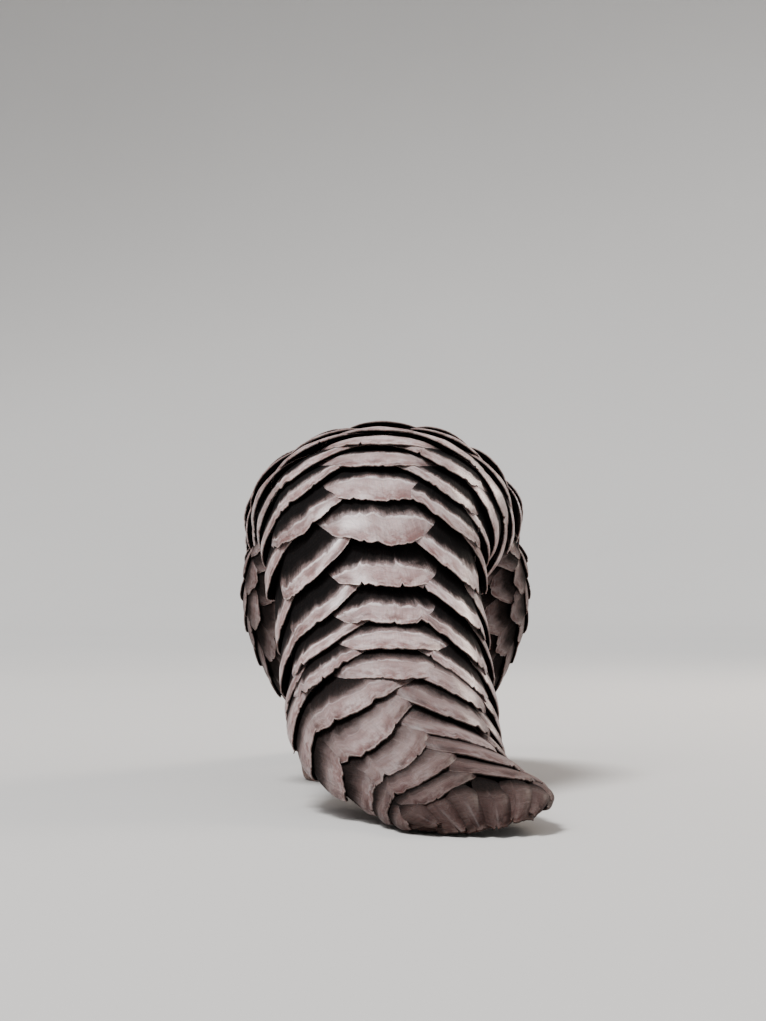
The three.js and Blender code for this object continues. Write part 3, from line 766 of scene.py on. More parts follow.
@dataclass(frozen=True)
class ClawFinish:
    """Claw horn, striped along its length and paler at the tip.

    It reads the attribute reach: the turn round the claw, the distance along it and the share along it.
    """

    name: str = "claw_horn"
    root: Colour = (0.070, 0.048, 0.038, 1)
    tip: Colour = (0.430, 0.340, 0.270, 1)
    soil: Colour = (0.120, 0.075, 0.055, 1)

    def build(self) -> bpy.types.Material:
        """Builds the material.

        Returns:
            The finished material.
        """
        g = Graph(self.name)
        turn, along, share = g.split("reach")
        stripes = g.noise(g.vector(turn * 9.0, along * 0.06, 3.0), 2.2, 4.0, 0.65)
        patches = g.noise(g.place(), 260.0, 4.0)
        colour = g.laid(
            self.root,
            (share.span(0.15, 0.85), self.tip),
            (stripes.span(0.45, 0.62) * 0.6, self.root),
            (patches.span(0.48, 0.68) * 0.5, self.soil),
        )
        relief = g.relief((stripes, 0.00035), (patches, 0.00020))
        return g.finish(Base_Color=colour, Roughness=patches * 0.25 + 0.28, Normal=relief)


@dataclass(frozen=True)
class EyeFinish:
    """A dark wet eye. The attribute ring is the distance from the eye's middle, 1 at its rim."""

    name: str = "dark_eye"
    pupil: Colour = (0.002, 0.002, 0.002, 1)
    iris: Colour = (0.045, 0.020, 0.010, 1)
    rim: Colour = (0.010, 0.006, 0.005, 1)

    def build(self) -> bpy.types.Material:
        """Builds the material.

        Returns:
            The finished material.
        """
        g = Graph(self.name)
        ring = g.share("ring")
        fibres = g.noise(g.place(), 1400.0, 3.0)
        colour = g.laid(
            self.iris,
            (fibres.span(0.35, 0.7), self.rim),
            (ring.span(0.30, 0.24), self.pupil),
            (ring.span(0.58, 0.70), self.rim),
        )
        return g.finish(Base_Color=colour, Roughness=0.12, Coat_Weight=1.0, Coat_Roughness=0.03)


@dataclass(frozen=True)
class BristleFinish:
    """Sparse bristles, brown at the root and straw-coloured towards the tip."""

    name: str = "bristle"
    root: Colour = (0.060, 0.035, 0.022, 1)
    tip: Colour = (0.420, 0.290, 0.190, 1)

    def build(self) -> bpy.types.Material:
        """Builds the material, coloured by the attribute grown, the share along a bristle."""
        g = Graph(self.name)
        colour = g.mix(g.share("grown").span(0.1, 0.9), self.root, self.tip)
        return g.finish(Base_Color=colour, Roughness=0.5)


@dataclass(frozen=True)
class FloorFinish:
    """A plain pale matt floor with the faintest unevenness."""

    name: str = "pale_floor"
    light: Colour = (0.56, 0.548, 0.532, 1)
    dark: Colour = (0.52, 0.508, 0.492, 1)

    def build(self) -> bpy.types.Material:
        """Builds the material."""
        g = Graph(self.name)
        cloud = g.noise(g.place(), 1.2)
        return g.finish(Base_Color=g.mix(cloud, self.light, self.dark), Roughness=0.8)


@dataclass(frozen=True)
class Scale:
    """One scale's place and size.

    s is where its free edge's foremost reach lies on the form's top line, angle its middle, length its
    way to the root, spread the angle from its middle to each side, tip how high the free edge stands,
    skew how far the edge leans to one side and recede how far its corners are drawn back. band is the
    width of the pale polished band along the free edge, arch how far the band's border falls towards
    the corners, shade how dark the scale is on the whole, partly a darker tone and partly painted shade,
    and turned how far its margin turns down.
    twist is the angle in degrees that the whole scale is turned by on the surface, about its free edge.
    """

    s: float
    angle: float
    length: float
    spread: float
    tip: float
    skew: float
    recede: float
    band: float = 20.0
    arch: float = 16.0
    shade: float = 0.0
    turned: float = 1.0
    twist: float = 0.0


@dataclass(frozen=True)
class Chip:
    """A kind of chip in a free edge: its number, the reach to each side, the depth and how often it shows."""

    number: int
    reach: tuple[float, float]
    depth: tuple[float, float]
    often: float


CHIPS = (Chip(7, (0.7, 6.0), (0.4, 4.6), 0.70), Chip(2, (0.5, 1.0), (3.0, 9.0), 0.55))
# Wave length and height of the sines in a free edge, and length and height of its saws' teeth.
WAVES = ((31.0, 1.0), (13.0, 0.6), (5.7, 0.30), (2.9, 0.28))
TEETH = ((15.0, 1.5), (6.5, 0.9))
# Where the two notches of a leaning edge lie, in shares across.
NOTCHES = ((0.30, 0.42), (0.52, 0.64))


@dataclass
class ScaleCoat:
    """The scales of one node, made together as one mesh.

    A scale is a plate over a grid of shares p from root to free edge and q across. Its top is
    (1 - p) * root + p * tip * (1 - crown * q^2) high, plus a little swell, and its underside lies a
    thickness below that, thickest along the middle and thin at the free edge. The free edge is drawn
    back by recede * |q|^corner_power - skew * q of the length, and worn by bites, splits and waves.
    Its rows crowd towards the free edge, and its width is taken from the form's girth at measured_at of
    its length.
    """

    node: str
    form: Form
    scales: list[Scale]
    columns: int = 72
    rows: int = 18
    under_rows: int = 6
    crown: float = 0.9
    root_width: float = 0.34
    root_height: float = -1.2
    thickness: float = 2.5
    edge_thickness: float = 0.85
    corner_power: float = 1.7
    crowded_power: float = 1.5
    measured_at: float = 0.4
    swell: float = 0.035
    full_length: float = 72.0
    keeled_from: float = 35.0
    lowest: float = 0.15

    def worn(self, x: np.ndarray, half: np.ndarray, size: np.ndarray, rng: np.random.Generator) -> np.ndarray:
        """How much of each free edge is worn away.

        The sum of four sines of falling size and two saws with upright teeth, and the deepest of a few
        lopsided bites and narrow splits, each depth * (1 - distance / reach)^0.7.

        Args:
            x: Distance across each scale, a row for each scale.
            half: Half the width of each scale.
            size: Each scale's size, 1 for a large one.
            rng: The source of random draws.

        Returns:
            Depths in millimetres, shaped as x.
        """
        count = len(x)
        depth = np.zeros_like(x)
        for wave_length, tall in WAVES:
            turn = rng.uniform(0, 2 * np.pi, (count, 1))
            stretch = rng.uniform(0.75, 1.3, (count, 1))
            depth += tall * np.sin(2 * np.pi * x / (wave_length * stretch * size) + turn)
        for tooth, tall in TEETH:
            turn = rng.uniform(0, 1, (count, 1))
            bent = x / (tooth * rng.uniform(0.8, 1.4, (count, 1)) * size)
            bent = bent + 0.35 * np.sin(x / (9.0 * size) + 6 * turn)
            depth += tall * (bent + turn) % tall * rng.choice([-0.7, 0.7], (count, 1))
        strength = rng.uniform(0.35, 1.0, (count, 1))
        bitten = np.zeros_like(x)
        for chip in (chip for chip in CHIPS for _ in range(chip.number)):
            middle = rng.uniform(-0.62, 0.62, (count, 1)) * half
            left, right = (rng.uniform(*chip.reach, (count, 1)) for _ in range(2))
            deep = rng.uniform(*chip.depth, (count, 1))
            shown = rng.uniform(0, 1, (count, 1)) < chip.often
            away = np.where(x < middle, (middle - x) / left, (x - middle) / right) / size
            bitten = np.maximum(bitten, deep * shown * np.clip(1.0 - away, 0.0, 1.0) ** 0.7)
        return (depth * 0.55 + bitten * strength) * size

    def notched(
        self, q: np.ndarray, half: np.ndarray, size: np.ndarray, rng: np.random.Generator
    ) -> np.ndarray:
        """Wear near the outer end of a leaning free edge: two sharp notches with a rounded lobe between.

        Each notch is depth * (1 - distance / width)^0.8, and the lobe a bell drawn the other way.

        Args:
            q: Shares across, 1 at the outer side.
            half: Half the width of each scale.
            size: Each scale's size.
            rng: The source of random draws.

        Returns:
            Depths in millimetres, shaped as q.
        """
        count = len(half)
        x = q * half
        total = np.zeros(x.shape)
        for low, high in NOTCHES:
            middle = rng.uniform(low, high, (count, 1)) * half
            wide = rng.uniform(1.6, 4.0, (count, 1)) * size
            deep = rng.uniform(1.0, 6.5, (count, 1)) * size * (rng.uniform(0, 1, (count, 1)) < 0.75)
            total += deep * np.clip(1.0 - np.abs(x - middle) / wide, 0.0, 1.0) ** 0.8
        lobe = rng.uniform(0.44, 0.50, (count, 1)) * half
        return total - rng.uniform(0.5, 2.2, (count, 1)) * size * bell(x - lobe, 4.0 * size)

    def surface(self) -> Surface:
        """Works out every scale's points, faces, attributes and map.

        Returns:
            One surface of closed plates.
        """
        rng = np.random.default_rng([SEED, len(self.node), len(self.scales)])
        table = np.array([astuple(scale) for scale in self.scales])
        s, angle, length, spread, tip, skew, recede, band, arch, shade, turned, twist = table.T[:, :, None]
        count, size = len(table), np.clip(length / self.full_length, 0.16, 1.0)
        q = np.linspace(-1, 1, self.columns)[None, :]
        _, _, _, _, half, rise, _ = self.form.sections_at(self.form.place(s + self.measured_at * length))
        girth = 0.5 * (half + rise)
        half_width = np.radians(spread) * girth
        smooth_edge = s + length * (recede * np.abs(q) ** self.corner_power - skew * q)
        edge = smooth_edge + self.worn(q * half_width, half_width, size, rng)
        outward = q * np.where(skew < 0, -1.0, 1.0)
        edge = edge + self.notched(outward, half_width, size, rng) * (np.abs(skew) > 0.1)
        own = rng.uniform(0, 1, (count, 1))
        lean = rng.uniform(-0.10, 0.10, (count, 1))
        lift = rng.uniform(-0.5, 0.8, (count, 1)) * size
        top_rows = 1.0 - (1.0 - np.linspace(0, 1, self.rows)) ** self.crowded_power
        p = np.concatenate([top_rows, np.linspace(1, 0, self.under_rows)])[:, None]
        below = np.concatenate([np.zeros(self.rows), np.ones(self.under_rows)])[:, None]
        # From here arrays are scales by rows by columns.
        s, length, tip, size, girth = (a[:, None, :] for a in (s, length, tip, size, girth))
        edge, smooth_edge, own, lean, lift = (a[:, None, :] for a in (edge, smooth_edge, own, lean, lift))
        turned, twist = turned[:, None, :], np.radians(twist)[:, None, :]
        half_width = half_width[:, None, :]
        root = s + length
        at = root + (edge - root) * p
        share = (root - at) / (root - smooth_edge)
        q = q[None]
        crown = 1.0 - self.crown * q**2 + lean * q * (1 - q**2)
        rolled = turned * size * smooth(share, 0.84 - 0.02 * turned, 1.06)
        swell = self.swell * length * share * (1 - share) * (1 - q**2)
        broad = np.clip(half_width / self.keeled_from, 0.0, 1.0) ** 2
        keel = 0.7 * size * broad * bell(q - lean, 0.10) * smooth(share, 0.3, 0.6) * smooth(share, 1.02, 0.7)
        rise = (1 - share) * self.root_height + share * (tip * crown + lift * (1 - q**2))
        top = rise + swell + keel - rolled
        body = (1 - 0.8 * q**2) * smooth(share, 1.04, 0.80) * (0.55 + 0.45 * smooth(share, 0.0, 0.5))
        thick = (self.edge_thickness + (self.thickness - self.edge_thickness) * body) * (0.35 + 0.65 * size)
        wide = self.root_width + (1 - self.root_width) * smooth(share, -0.1, 0.85)
        run, aside = at - s, q * half_width * wide
        placed = s + run * np.cos(twist) - aside * np.sin(twist)
        around = angle[:, None, :] + np.degrees((run * np.sin(twist) + aside * np.cos(twist)) / girth)
        points = self.form.point(placed, around, top - below * thick)
        points[..., 2] = np.maximum(points[..., 2], self.lowest)
        values = {
            "lie": (q * half_width / size, (at - edge) / size, own),
            "zone": (share, q, below),
            "grade": (band[:, None], arch[:, None], shade[:, None]),
        }
        for title, three in values.items():
            values[title] = np.stack([np.broadcast_to(numbers, at.shape) for numbers in three], -1)
        return self.closed(points, values)

    def closed(self, points: np.ndarray, values: dict[str, np.ndarray]) -> Surface:
        """Joins the grids into closed plates with caps at both sides and gives each its own map cell.

        Args:
            points: Scales by rows by columns of points.
            values: Attributes by name, shaped alike.

        Returns:
            The surface with its attributes and map.
        """
        count, rings, columns = points.shape[:3]
        caps = points[:, :, [0, -1]].mean(1)
        whole = np.concatenate([points.reshape(count, -1, 3), caps], 1)
        carried = {
            title: np.concatenate([a.reshape(count, -1, 3), a[:, -1, [0, -1]]], 1).reshape(-1, 3)
            for title, a in values.items()
        }
        quads = grid_quads(rings, columns, round_rows=True)
        first, last = rings * columns, rings * columns + 1
        left = fan(first, np.arange(rings)[::-1] * columns)
        right = fan(last, np.arange(rings) * columns + columns - 1)
        faces = np.concatenate([quads, left, right])
        uv = self.cell_map(rings, columns, len(left) + len(right))
        per_side = math.ceil(math.sqrt(count))
        cell = np.stack([np.arange(count) % per_side, np.arange(count) // per_side], -1)
        offsets = np.arange(count)[:, None, None] * whole.shape[1]
        every = np.where(faces < 0, -1, faces + offsets)
        return Surface(
            whole.reshape(-1, 3),
            every.reshape(-1, 4),
            carried,
            ((uv[None] + cell[:, None, None, :]) / per_side).reshape(-1, 4, 2),
        ).outward()

    def cell_map(self, rings: int, columns: int, caps: int) -> np.ndarray:
        """The map of one plate in a square cell: its top, underside, rim and sides each have their own part.

        Args:
            rings: Rows of the plate's closed grid.
            columns: Points across it.
            caps: Number of triangles at its two sides.

        Returns:
            Map places for each corner of each face.
        """
        row = np.arange(rings)[:, None, None]
        column = np.arange(columns - 1)[None, :, None]
        u_share = (column + np.array([0, 1, 1, 0])) / (columns - 1)
        v_step = np.array([0, 0, 1, 1])
        top_v = 0.02 + 0.88 * (row + v_step) / (self.rows - 1)
        under_v = 0.02 + 0.88 * (row - self.rows + v_step) / (self.under_rows - 1)
        shape = (rings, columns - 1, 4)
        u = np.where(row < self.rows, 0.02 + 0.68 * u_share, 0.76 + 0.22 * u_share)
        v = np.where(row < self.rows - 1, top_v, np.where(row < self.rows, 0.92 + 0.05 * v_step, under_v))
        root_row = row == rings - 1
        u, v = np.where(root_row, 0.715 + 0.02 * v_step, u), np.where(root_row, 0.02 + 0.9 * u_share, v)
        grid = np.stack([np.broadcast_to(u, shape), np.broadcast_to(v, shape)], -1).reshape(-1, 4, 2)
        side = np.array([[0.742, 0.02], [0.742, 0.9], [0.748, 0.9], [0.748, 0.02]])
        side = np.broadcast_to(side, (caps, 4, 2))
        return np.concatenate([grid, side])

    def build(self, finish: bpy.types.Material) -> bpy.types.Object:
        """Makes the piece that stands for its node's scales.

        Args:
            finish: The horn material.

        Returns:
            The finished object.
        """
        piece = self.surface().to_object(f"scales_{self.node}")
        return dressed(piece, finish, [self.node])


def dressed(
    piece: bpy.types.Object, finish: bpy.types.Material, nodes: Sequence[str]
) -> bpy.types.Object:
    """Gives a piece its material and body, and hides the solids that it stands for.

    Args:
        piece: The piece.
        finish: Its material.
        nodes: Solids that it replaces.

    Returns:
        The same piece.
    """
    piece.data.materials.clear()
    piece.data.materials.append(finish)
    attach(piece, "root")
    if nodes:
        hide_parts(*nodes)
    stands_for = ", ".join(nodes) or "no solid"
    log.info("%s: %d faces, stands for %s", piece.name, len(piece.data.polygons), stands_for)
    return piece


@dataclass
class BodyScales:
    """Lays out the scales of the body and tail in columns side by side, each row set between the next's.

    The tail's end is a fan of scales side by side, each given by its angle, spread, tip, lag behind the
    foremost and how far it turns down. Pairs of scales follow it, and the middle column starts after
    paired_rows half rows. The other tables hold a distance along the top line and the value there.
    """

    form: Form
    first: float = -4.0
    # Shares by which a scale's length, recede, spread, tip, skew and band vary.
    varies: tuple[float, ...] = (0.05, 0.06, 0.04, 0.10, 0.25, 0.12)
    # How far a scale strays along, in half steps, and round the form, in degrees.
    strays: tuple[float, float] = (0.14, 1.2)
    half_steps: Table = (
        (0, 16), (70, 17.6), (130, 17.8), (150, 20.2), (215, 20.2), (235, 18.2), (320, 18.6), (355, 20.4),
        (420, 18.9), (700, 17.5), (790, 12), (830, 7.6), (880, 5.6), (940, 4.2),
    )
    column_angles: Table = (
        (0, 45), (390, 45), (470, 35), (560, 26), (640, 22.5), (760, 23), (850, 21), (940, 20),
    )
    lowest_angles: Table = (
        (405, 180.5), (406, 118), (560, 112), (720, 108), (800, 92), (860, 74), (925, 52),
    )
    rises: Table = ((0, 0.085), (60, 0.09), (150, 0.11), (240, 0.14), (340, 0.165), (800, 0.155))
    # How dark the scales are along the top line: on the lower tail partly a darker tone and partly painted
    # shade, and on the body ahead a darker tone.
    painted_shade_and_tone: Table = (
        (10, 1.0), (60, 0.85), (130, 0.62), (200, 0.34), (250, 0.10), (300, 0.0), (480, 0.0), (560, 0.30),
    )
    banding: Table = (
        (40, 1.20), (80, 1.28), (150, 1.16), (200, 1.02), (250, 1.0), (470, 1.0), (560, 0.62), (700, 0.50),
    )
    turning: Table = ((0, 5.0), (40, 3.2), (200, 2.4), (300, 1.2))
    fan: Table = (
        (-104, 30, 2.5, 22, 5), (-68, 30, 6.0, 11, 8), (-37, 19, 2.8, 4, 10), (-12, 16, 6.4, 0, 13),
        (13, 16, 2.8, -2, 9), (38, 20, 6.2, 3, 12), (68, 30, 2.8, 10, 7), (104, 30, 4.5, 22, 5),
    )
    fan_length: float = 86.0
    fan_recede: float = 0.19
    # How dark the fan's scales are: partly a darker tone, partly painted shade.
    fan_shade: float = 1.0
    paired_rows: int = 12
    pair_angle: float = 31.0
    pair_width: float = 1.04
    most_columns: int = 6
    large_step: float = 18.0
    small_step: float = 12.0
    rows_covered: float = 1.95
    width: float = 0.97
    recede: float = 0.5
    middle_recede: float = 0.43
    arch: float = 12.0
    middle_arch: float = 34.0
    skew: float = 0.22
    side_skew: float = 0.07
    tail_spacing: float = 40.0
    underside_from: float = 100.0
    underside_column: int = 4
    ahead_of_snout: float = 30.0

    def layout(self) -> list[Scale]:
        """Lists every scale from the tail's end to the head.

        Returns:
            The scales in order.
        """
        rng = np.random.default_rng(SEED)
        scales: list[Scale] = []
        scales.extend(self.fan_scale(row_of_fan, rng) for row_of_fan in self.fan)
        s, row = self.first, 0
        while s < self.form.length - self.ahead_of_snout:
            between = float(read(self.column_angles, s))
            for column in range(-self.most_columns, self.most_columns + 1):
                if self.grows(row, column, s, between):
                    scales.append(self.scale(s, row, column, between, rng))
            s += float(read(self.half_steps, s))
            row += 1
        return scales

    def grows(self, row: int, column: int, s: float, between: float) -> bool:
        """Whether a scale grows at a half row and column.

        Args:
            row: Number of the half row.
            column: The column, 0 along the back.
            s: Distance of the row along the top line.
            between: Angle from one column to the next.

        Returns:
            True where one grows. The fan takes the first row, and the middle column is bare among the pairs.
        """
        aside = abs(column)
        doubled = between > self.tail_spacing and column <= -self.underside_column
        if (row + column) % 2 != 0 or row == 0 or doubled:
            return False
        if row < self.paired_rows and (aside == 0 or (aside == 1 and row == 1)):
            return False
        return aside * between <= float(read(self.lowest_angles, s))

    def scale(self, s: float, row: int, column: int, between: float, rng: np.random.Generator) -> Scale:
        """Sizes one scale.

        Args:
            s: Distance of its row along the top line.
            row: Number of its half row.
            column: Its column, 0 along the back.
            between: Angle from its column to the next.
            rng: The source of random draws.

        Returns:
            The scale.
        """
        aside, sign = abs(column), (column > 0) - (column < 0)
        pair = row < self.paired_rows and aside == 1
        tail = between > self.tail_spacing
        angle = sign * (self.pair_angle if pair else aside * between)
        underneath = tail and abs(angle) > self.underside_from
        step = float(read(self.half_steps, s))
        vary = 1 + rng.uniform(-1, 1, len(self.varies)) * np.array(self.varies)
        length = 2 * step * self.rows_covered * vary[0]
        lean = 0.0 if underneath else self.side_skew if tail and aside == 2 else self.skew
        width = self.pair_width if pair else 1.0
        middle = aside == 0
        large = step / self.large_step if step > self.small_step else 0.9
        along = 0.5 * step * sign if pair else 0.0
        return Scale(
            s=s + along + self.strays[0] * step * rng.uniform(-1, 1),
            angle=angle + rng.uniform(-self.strays[1], self.strays[1]),
            length=length,
            spread=self.width * width * between * vary[2],
            tip=length * float(read(self.rises, s)) * (0.55 if underneath else 1.0) * vary[3],
            skew=sign * lean * vary[4],
            recede=(self.middle_recede if middle and tail else self.recede) * vary[1],
            band=self.band(middle, pair, tail, aside) * vary[5] * large * float(read(self.banding, s)),
            arch=self.middle_arch if middle and tail else self.arch,
            shade=float(read(self.painted_shade_and_tone, s)),
            turned=float(read(self.turning, s)),
        )

    def fan_scale(self, sizes: tuple[float, ...], rng: np.random.Generator) -> Scale:
        """Sizes one of the short scales side by side round the tail's end, from a row of the table fan."""
        angle, spread, tip, lag, turned = sizes
        return Scale(
            s=self.first + lag + rng.uniform(-1, 1),
            angle=angle,
            length=self.fan_length - 0.5 * lag,
            spread=spread,
            tip=tip,
            skew=0.0,
            recede=self.fan_recede,
            band=rng.uniform(24.0, 32.0),
            arch=4.0,
            shade=self.fan_shade,
            turned=turned,
        )

    @staticmethod
    def band(middle: bool, pair: bool, tail: bool, aside: int) -> float:
        """The width of the polished band: widest along the back and narrow down the sides."""
        if middle:
            return 24.5
        if pair:
            return 18.5
        return 12.5 if tail or aside > 2 else 15.5


@dataclass
class LegScales:
    """Lays out the scales of one leg, from near the foot upward, their free edges turned to the back.

    back is the sign of the angles that face the animal's back, and reach how far round to the front and
    the back they grow.
    """

    form: Form
    back: int
    lowest: float
    highest: float
    step: float
    between: float
    reach: tuple[float, float] = (80.0, 125.0)
    twists: Table = ((25, 8), (60, 26), (110, 48), (150, 58))
    rows_covered: float = 1.95

    def layout(self) -> list[Scale]:
        """Lists the scales from the foot up.

        Returns:
            The scales in order.
        """
        rng = np.random.default_rng([SEED, 3])
        scales: list[Scale] = []
        row, s = 0, self.lowest
        front, rear = (int(reach // self.between) for reach in self.reach)
        while s < self.form.length * self.highest:
            for column in range(-front, rear + 1):
                if (row + column) % 2 == 0:
                    scales.append(self.scale(s, column, rng))
            row += 1
            s += self.step
        return scales

    def scale(self, s: float, column: int, rng: np.random.Generator) -> Scale:
        """Sizes one scale of a row at distance s, its columns counted from the outer side to the back."""
        length = 2 * self.step * self.rows_covered * rng.uniform(0.94, 1.06)
        return Scale(
            s=s + rng.uniform(-0.8, 0.8),
            angle=self.back * (column * self.between + rng.uniform(-1.5, 1.5)),
            length=length,
            spread=0.97 * self.between,
            tip=length * 0.15 * rng.uniform(0.9, 1.1),
            skew=rng.uniform(-0.05, 0.05),
            recede=0.45,
            band=rng.uniform(6.0, 10.0),
            arch=6.0,
            # Painted shade: the leg's scales are darkened as if in shadow.
            shade=0.60,
            twist=-self.back * float(read(self.twists, s)) * rng.uniform(0.94, 1.06),
        )


@dataclass(frozen=True)
class Leg:
    """A leg's side, place on the floor and sections, with the layout of its scales."""

    node: str
    side: Side
    stand: tuple[float, float]
    sections: tuple[Section, ...]
    scale_step: float
    scale_between: float
    lowest: float
    highest: float

    @property
    def hind(self) -> bool:
        """Whether this is a hind leg."""
        return self.sections is HIND_SECTIONS

    def form(self) -> Form:
        """The leg's form, with its angle 0 facing outward."""
        sign = self.side.value
        placed = [
            replace(s, at=(self.stand[0] + sign * s.at[0], self.stand[1] + s.at[1], s.at[2]))
            for s in self.sections
        ]
        return Form(placed, (sign, 0, 0))

    def scales(self) -> list[Scale]:
        """The leg's scales."""
        sizes = (self.lowest, self.highest, self.scale_step, self.scale_between)
        return LegScales(self.form(), -self.side.value, *sizes).layout()


LEGS = (
    Leg("hindleg_left", Side.LEFT, (-35, 12), HIND_SECTIONS, 13.5, 25.0, 20.0, 0.94),
    Leg("hindleg_right", Side.RIGHT, (41, 42), HIND_SECTIONS, 13.5, 25.0, 20.0, 0.94),
    Leg("foreleg_left", Side.LEFT, (-45, 222), FORE_SECTIONS, 10.0, 27.0, 22.0, 0.90),
    Leg("foreleg_right", Side.RIGHT, (46, 203), FORE_SECTIONS, 10.0, 27.0, 22.0, 0.90),
)


@dataclass(frozen=True)
class Claw:
    """One claw: its root's place outward, forward and up, its length and width, and its splay and bend."""

    across: float
    ahead: float
    height: float
    length: float
    width: float
    splay: float
    turn: float


@dataclass
class Claws:
    """The claws or nails of one foot, each a tapered round horn along an arc that turns down.

    A claw's line is base + ahead * R * sin(bend) + down * R * (1 - cos(bend)), with R = length / turn.
    Its section is an ellipse flattened below, drawn in to a blunt point.
    """

    leg: Leg
    rings: int = 22
    sides: int = 20
    root: float = 7.0
    blunt: float = 0.80
    lowest: float = 0.2
    fore: tuple[Claw, ...] = (
        Claw(-17, 12, 9, 16, 6, -14, 42),
        Claw(-10, 17, 12, 37, 10, -5, 44),
        Claw(0.5, 18, 13, 44, 12, 0, 44),
        Claw(11, 17, 12, 34, 9.5, 6, 46),
        Claw(18, 11, 9, 14, 5.5, 16, 42),
    )
    hind_across: tuple[float, ...] = (-18, -10, -0.5, 9, 17.5)

    def claws(self) -> list[Claw]:
        """The foot's claws. A hind foot's stand along a curve, 30 - 0.0266 * across^2 forward."""
        if not self.leg.hind:
            return list(self.fore)
        outer = (self.hind_across[0], self.hind_across[-1])
        sizes = [(11, 8.5) if x in outer else (14, 10) for x in self.hind_across]
        placed = zip(self.hind_across, sizes)
        return [Claw(x, 30 - 0.0266 * x * x, 9.5, *size, 1.1 * x, 46) for x, size in placed]

    def base(self, claw: Claw) -> np.ndarray:
        """Where a claw leaves the foot."""
        x, y = self.leg.stand
        return np.array([x + self.leg.side.value * claw.across, y + claw.ahead, claw.height]) + BOX_SHIFT

    def surface(self, claw: Claw) -> Surface:
        """One claw.

        Args:
            claw: Its sizes.

        Returns:
            A closed surface with the attribute reach.
        """
        splay, turn = math.radians(claw.splay), math.radians(claw.turn)
        climb = 0.0 if self.leg.hind else 0.12
        forward = unit(np.array([self.leg.side.value * math.sin(splay), math.cos(splay), climb]))
        down = unit(np.array([0.0, 0.0, -1.0]) + forward * forward[2])
        sideways = np.cross(forward, down)
        base = self.base(claw) - [0.0, self.root, 0.0]
        whole = claw.length + self.root
        share = np.linspace(0, 1, self.rings)[:, None]
        bend, radius = turn * share, whole / turn
        line = base + forward * radius * np.sin(bend) + down * radius * (1 - np.cos(bend))
        outward = forward * np.sin(bend) - down * np.cos(bend)
        thick = claw.width / 2 * (1 - self.blunt * share**1.5) * np.sqrt(np.clip(1 - share**14, 0, 1))
        around = np.linspace(0, 2 * np.pi, self.sides, endpoint=False)[None, :]
        flat = np.where(np.cos(around) < 0, 0.72, 1.18)
        x = (thick * np.sin(around))[..., None]
        y = (thick * np.cos(around) * flat)[..., None]
        points = line[:, None, :] + sideways * x + outward[:, None, :] * y
        ends = line[[0, -1]]
        points[..., 2] = np.maximum(points[..., 2], self.lowest)
        ends[:, 2] = np.maximum(ends[:, 2], self.lowest)
        reach = np.stack(np.broadcast_arrays(np.sin(around / 2) * 2, share * whole, share), -1).reshape(-1, 3)
        return Surface.tube(points, ends, "reach", np.concatenate([reach, reach[:1], reach[-1:]]))

    def build(self, finish: bpy.types.Material) -> list[bpy.types.Object]:
        """Makes the foot's claws.

        Args:
            finish: The claw material.

        Returns:
            One object for each claw, named as its solid is.
        """
        word = f"{'hind' if self.leg.hind else 'fore'}claw_{self.leg.side.word}"
        made = []
        for k, claw in enumerate(self.claws(), 1):
            piece = self.surface(claw).to_object(f"{word}_{k}_horn")
            made.append(dressed(piece, finish, [f"{word}_{k}"]))
        return made


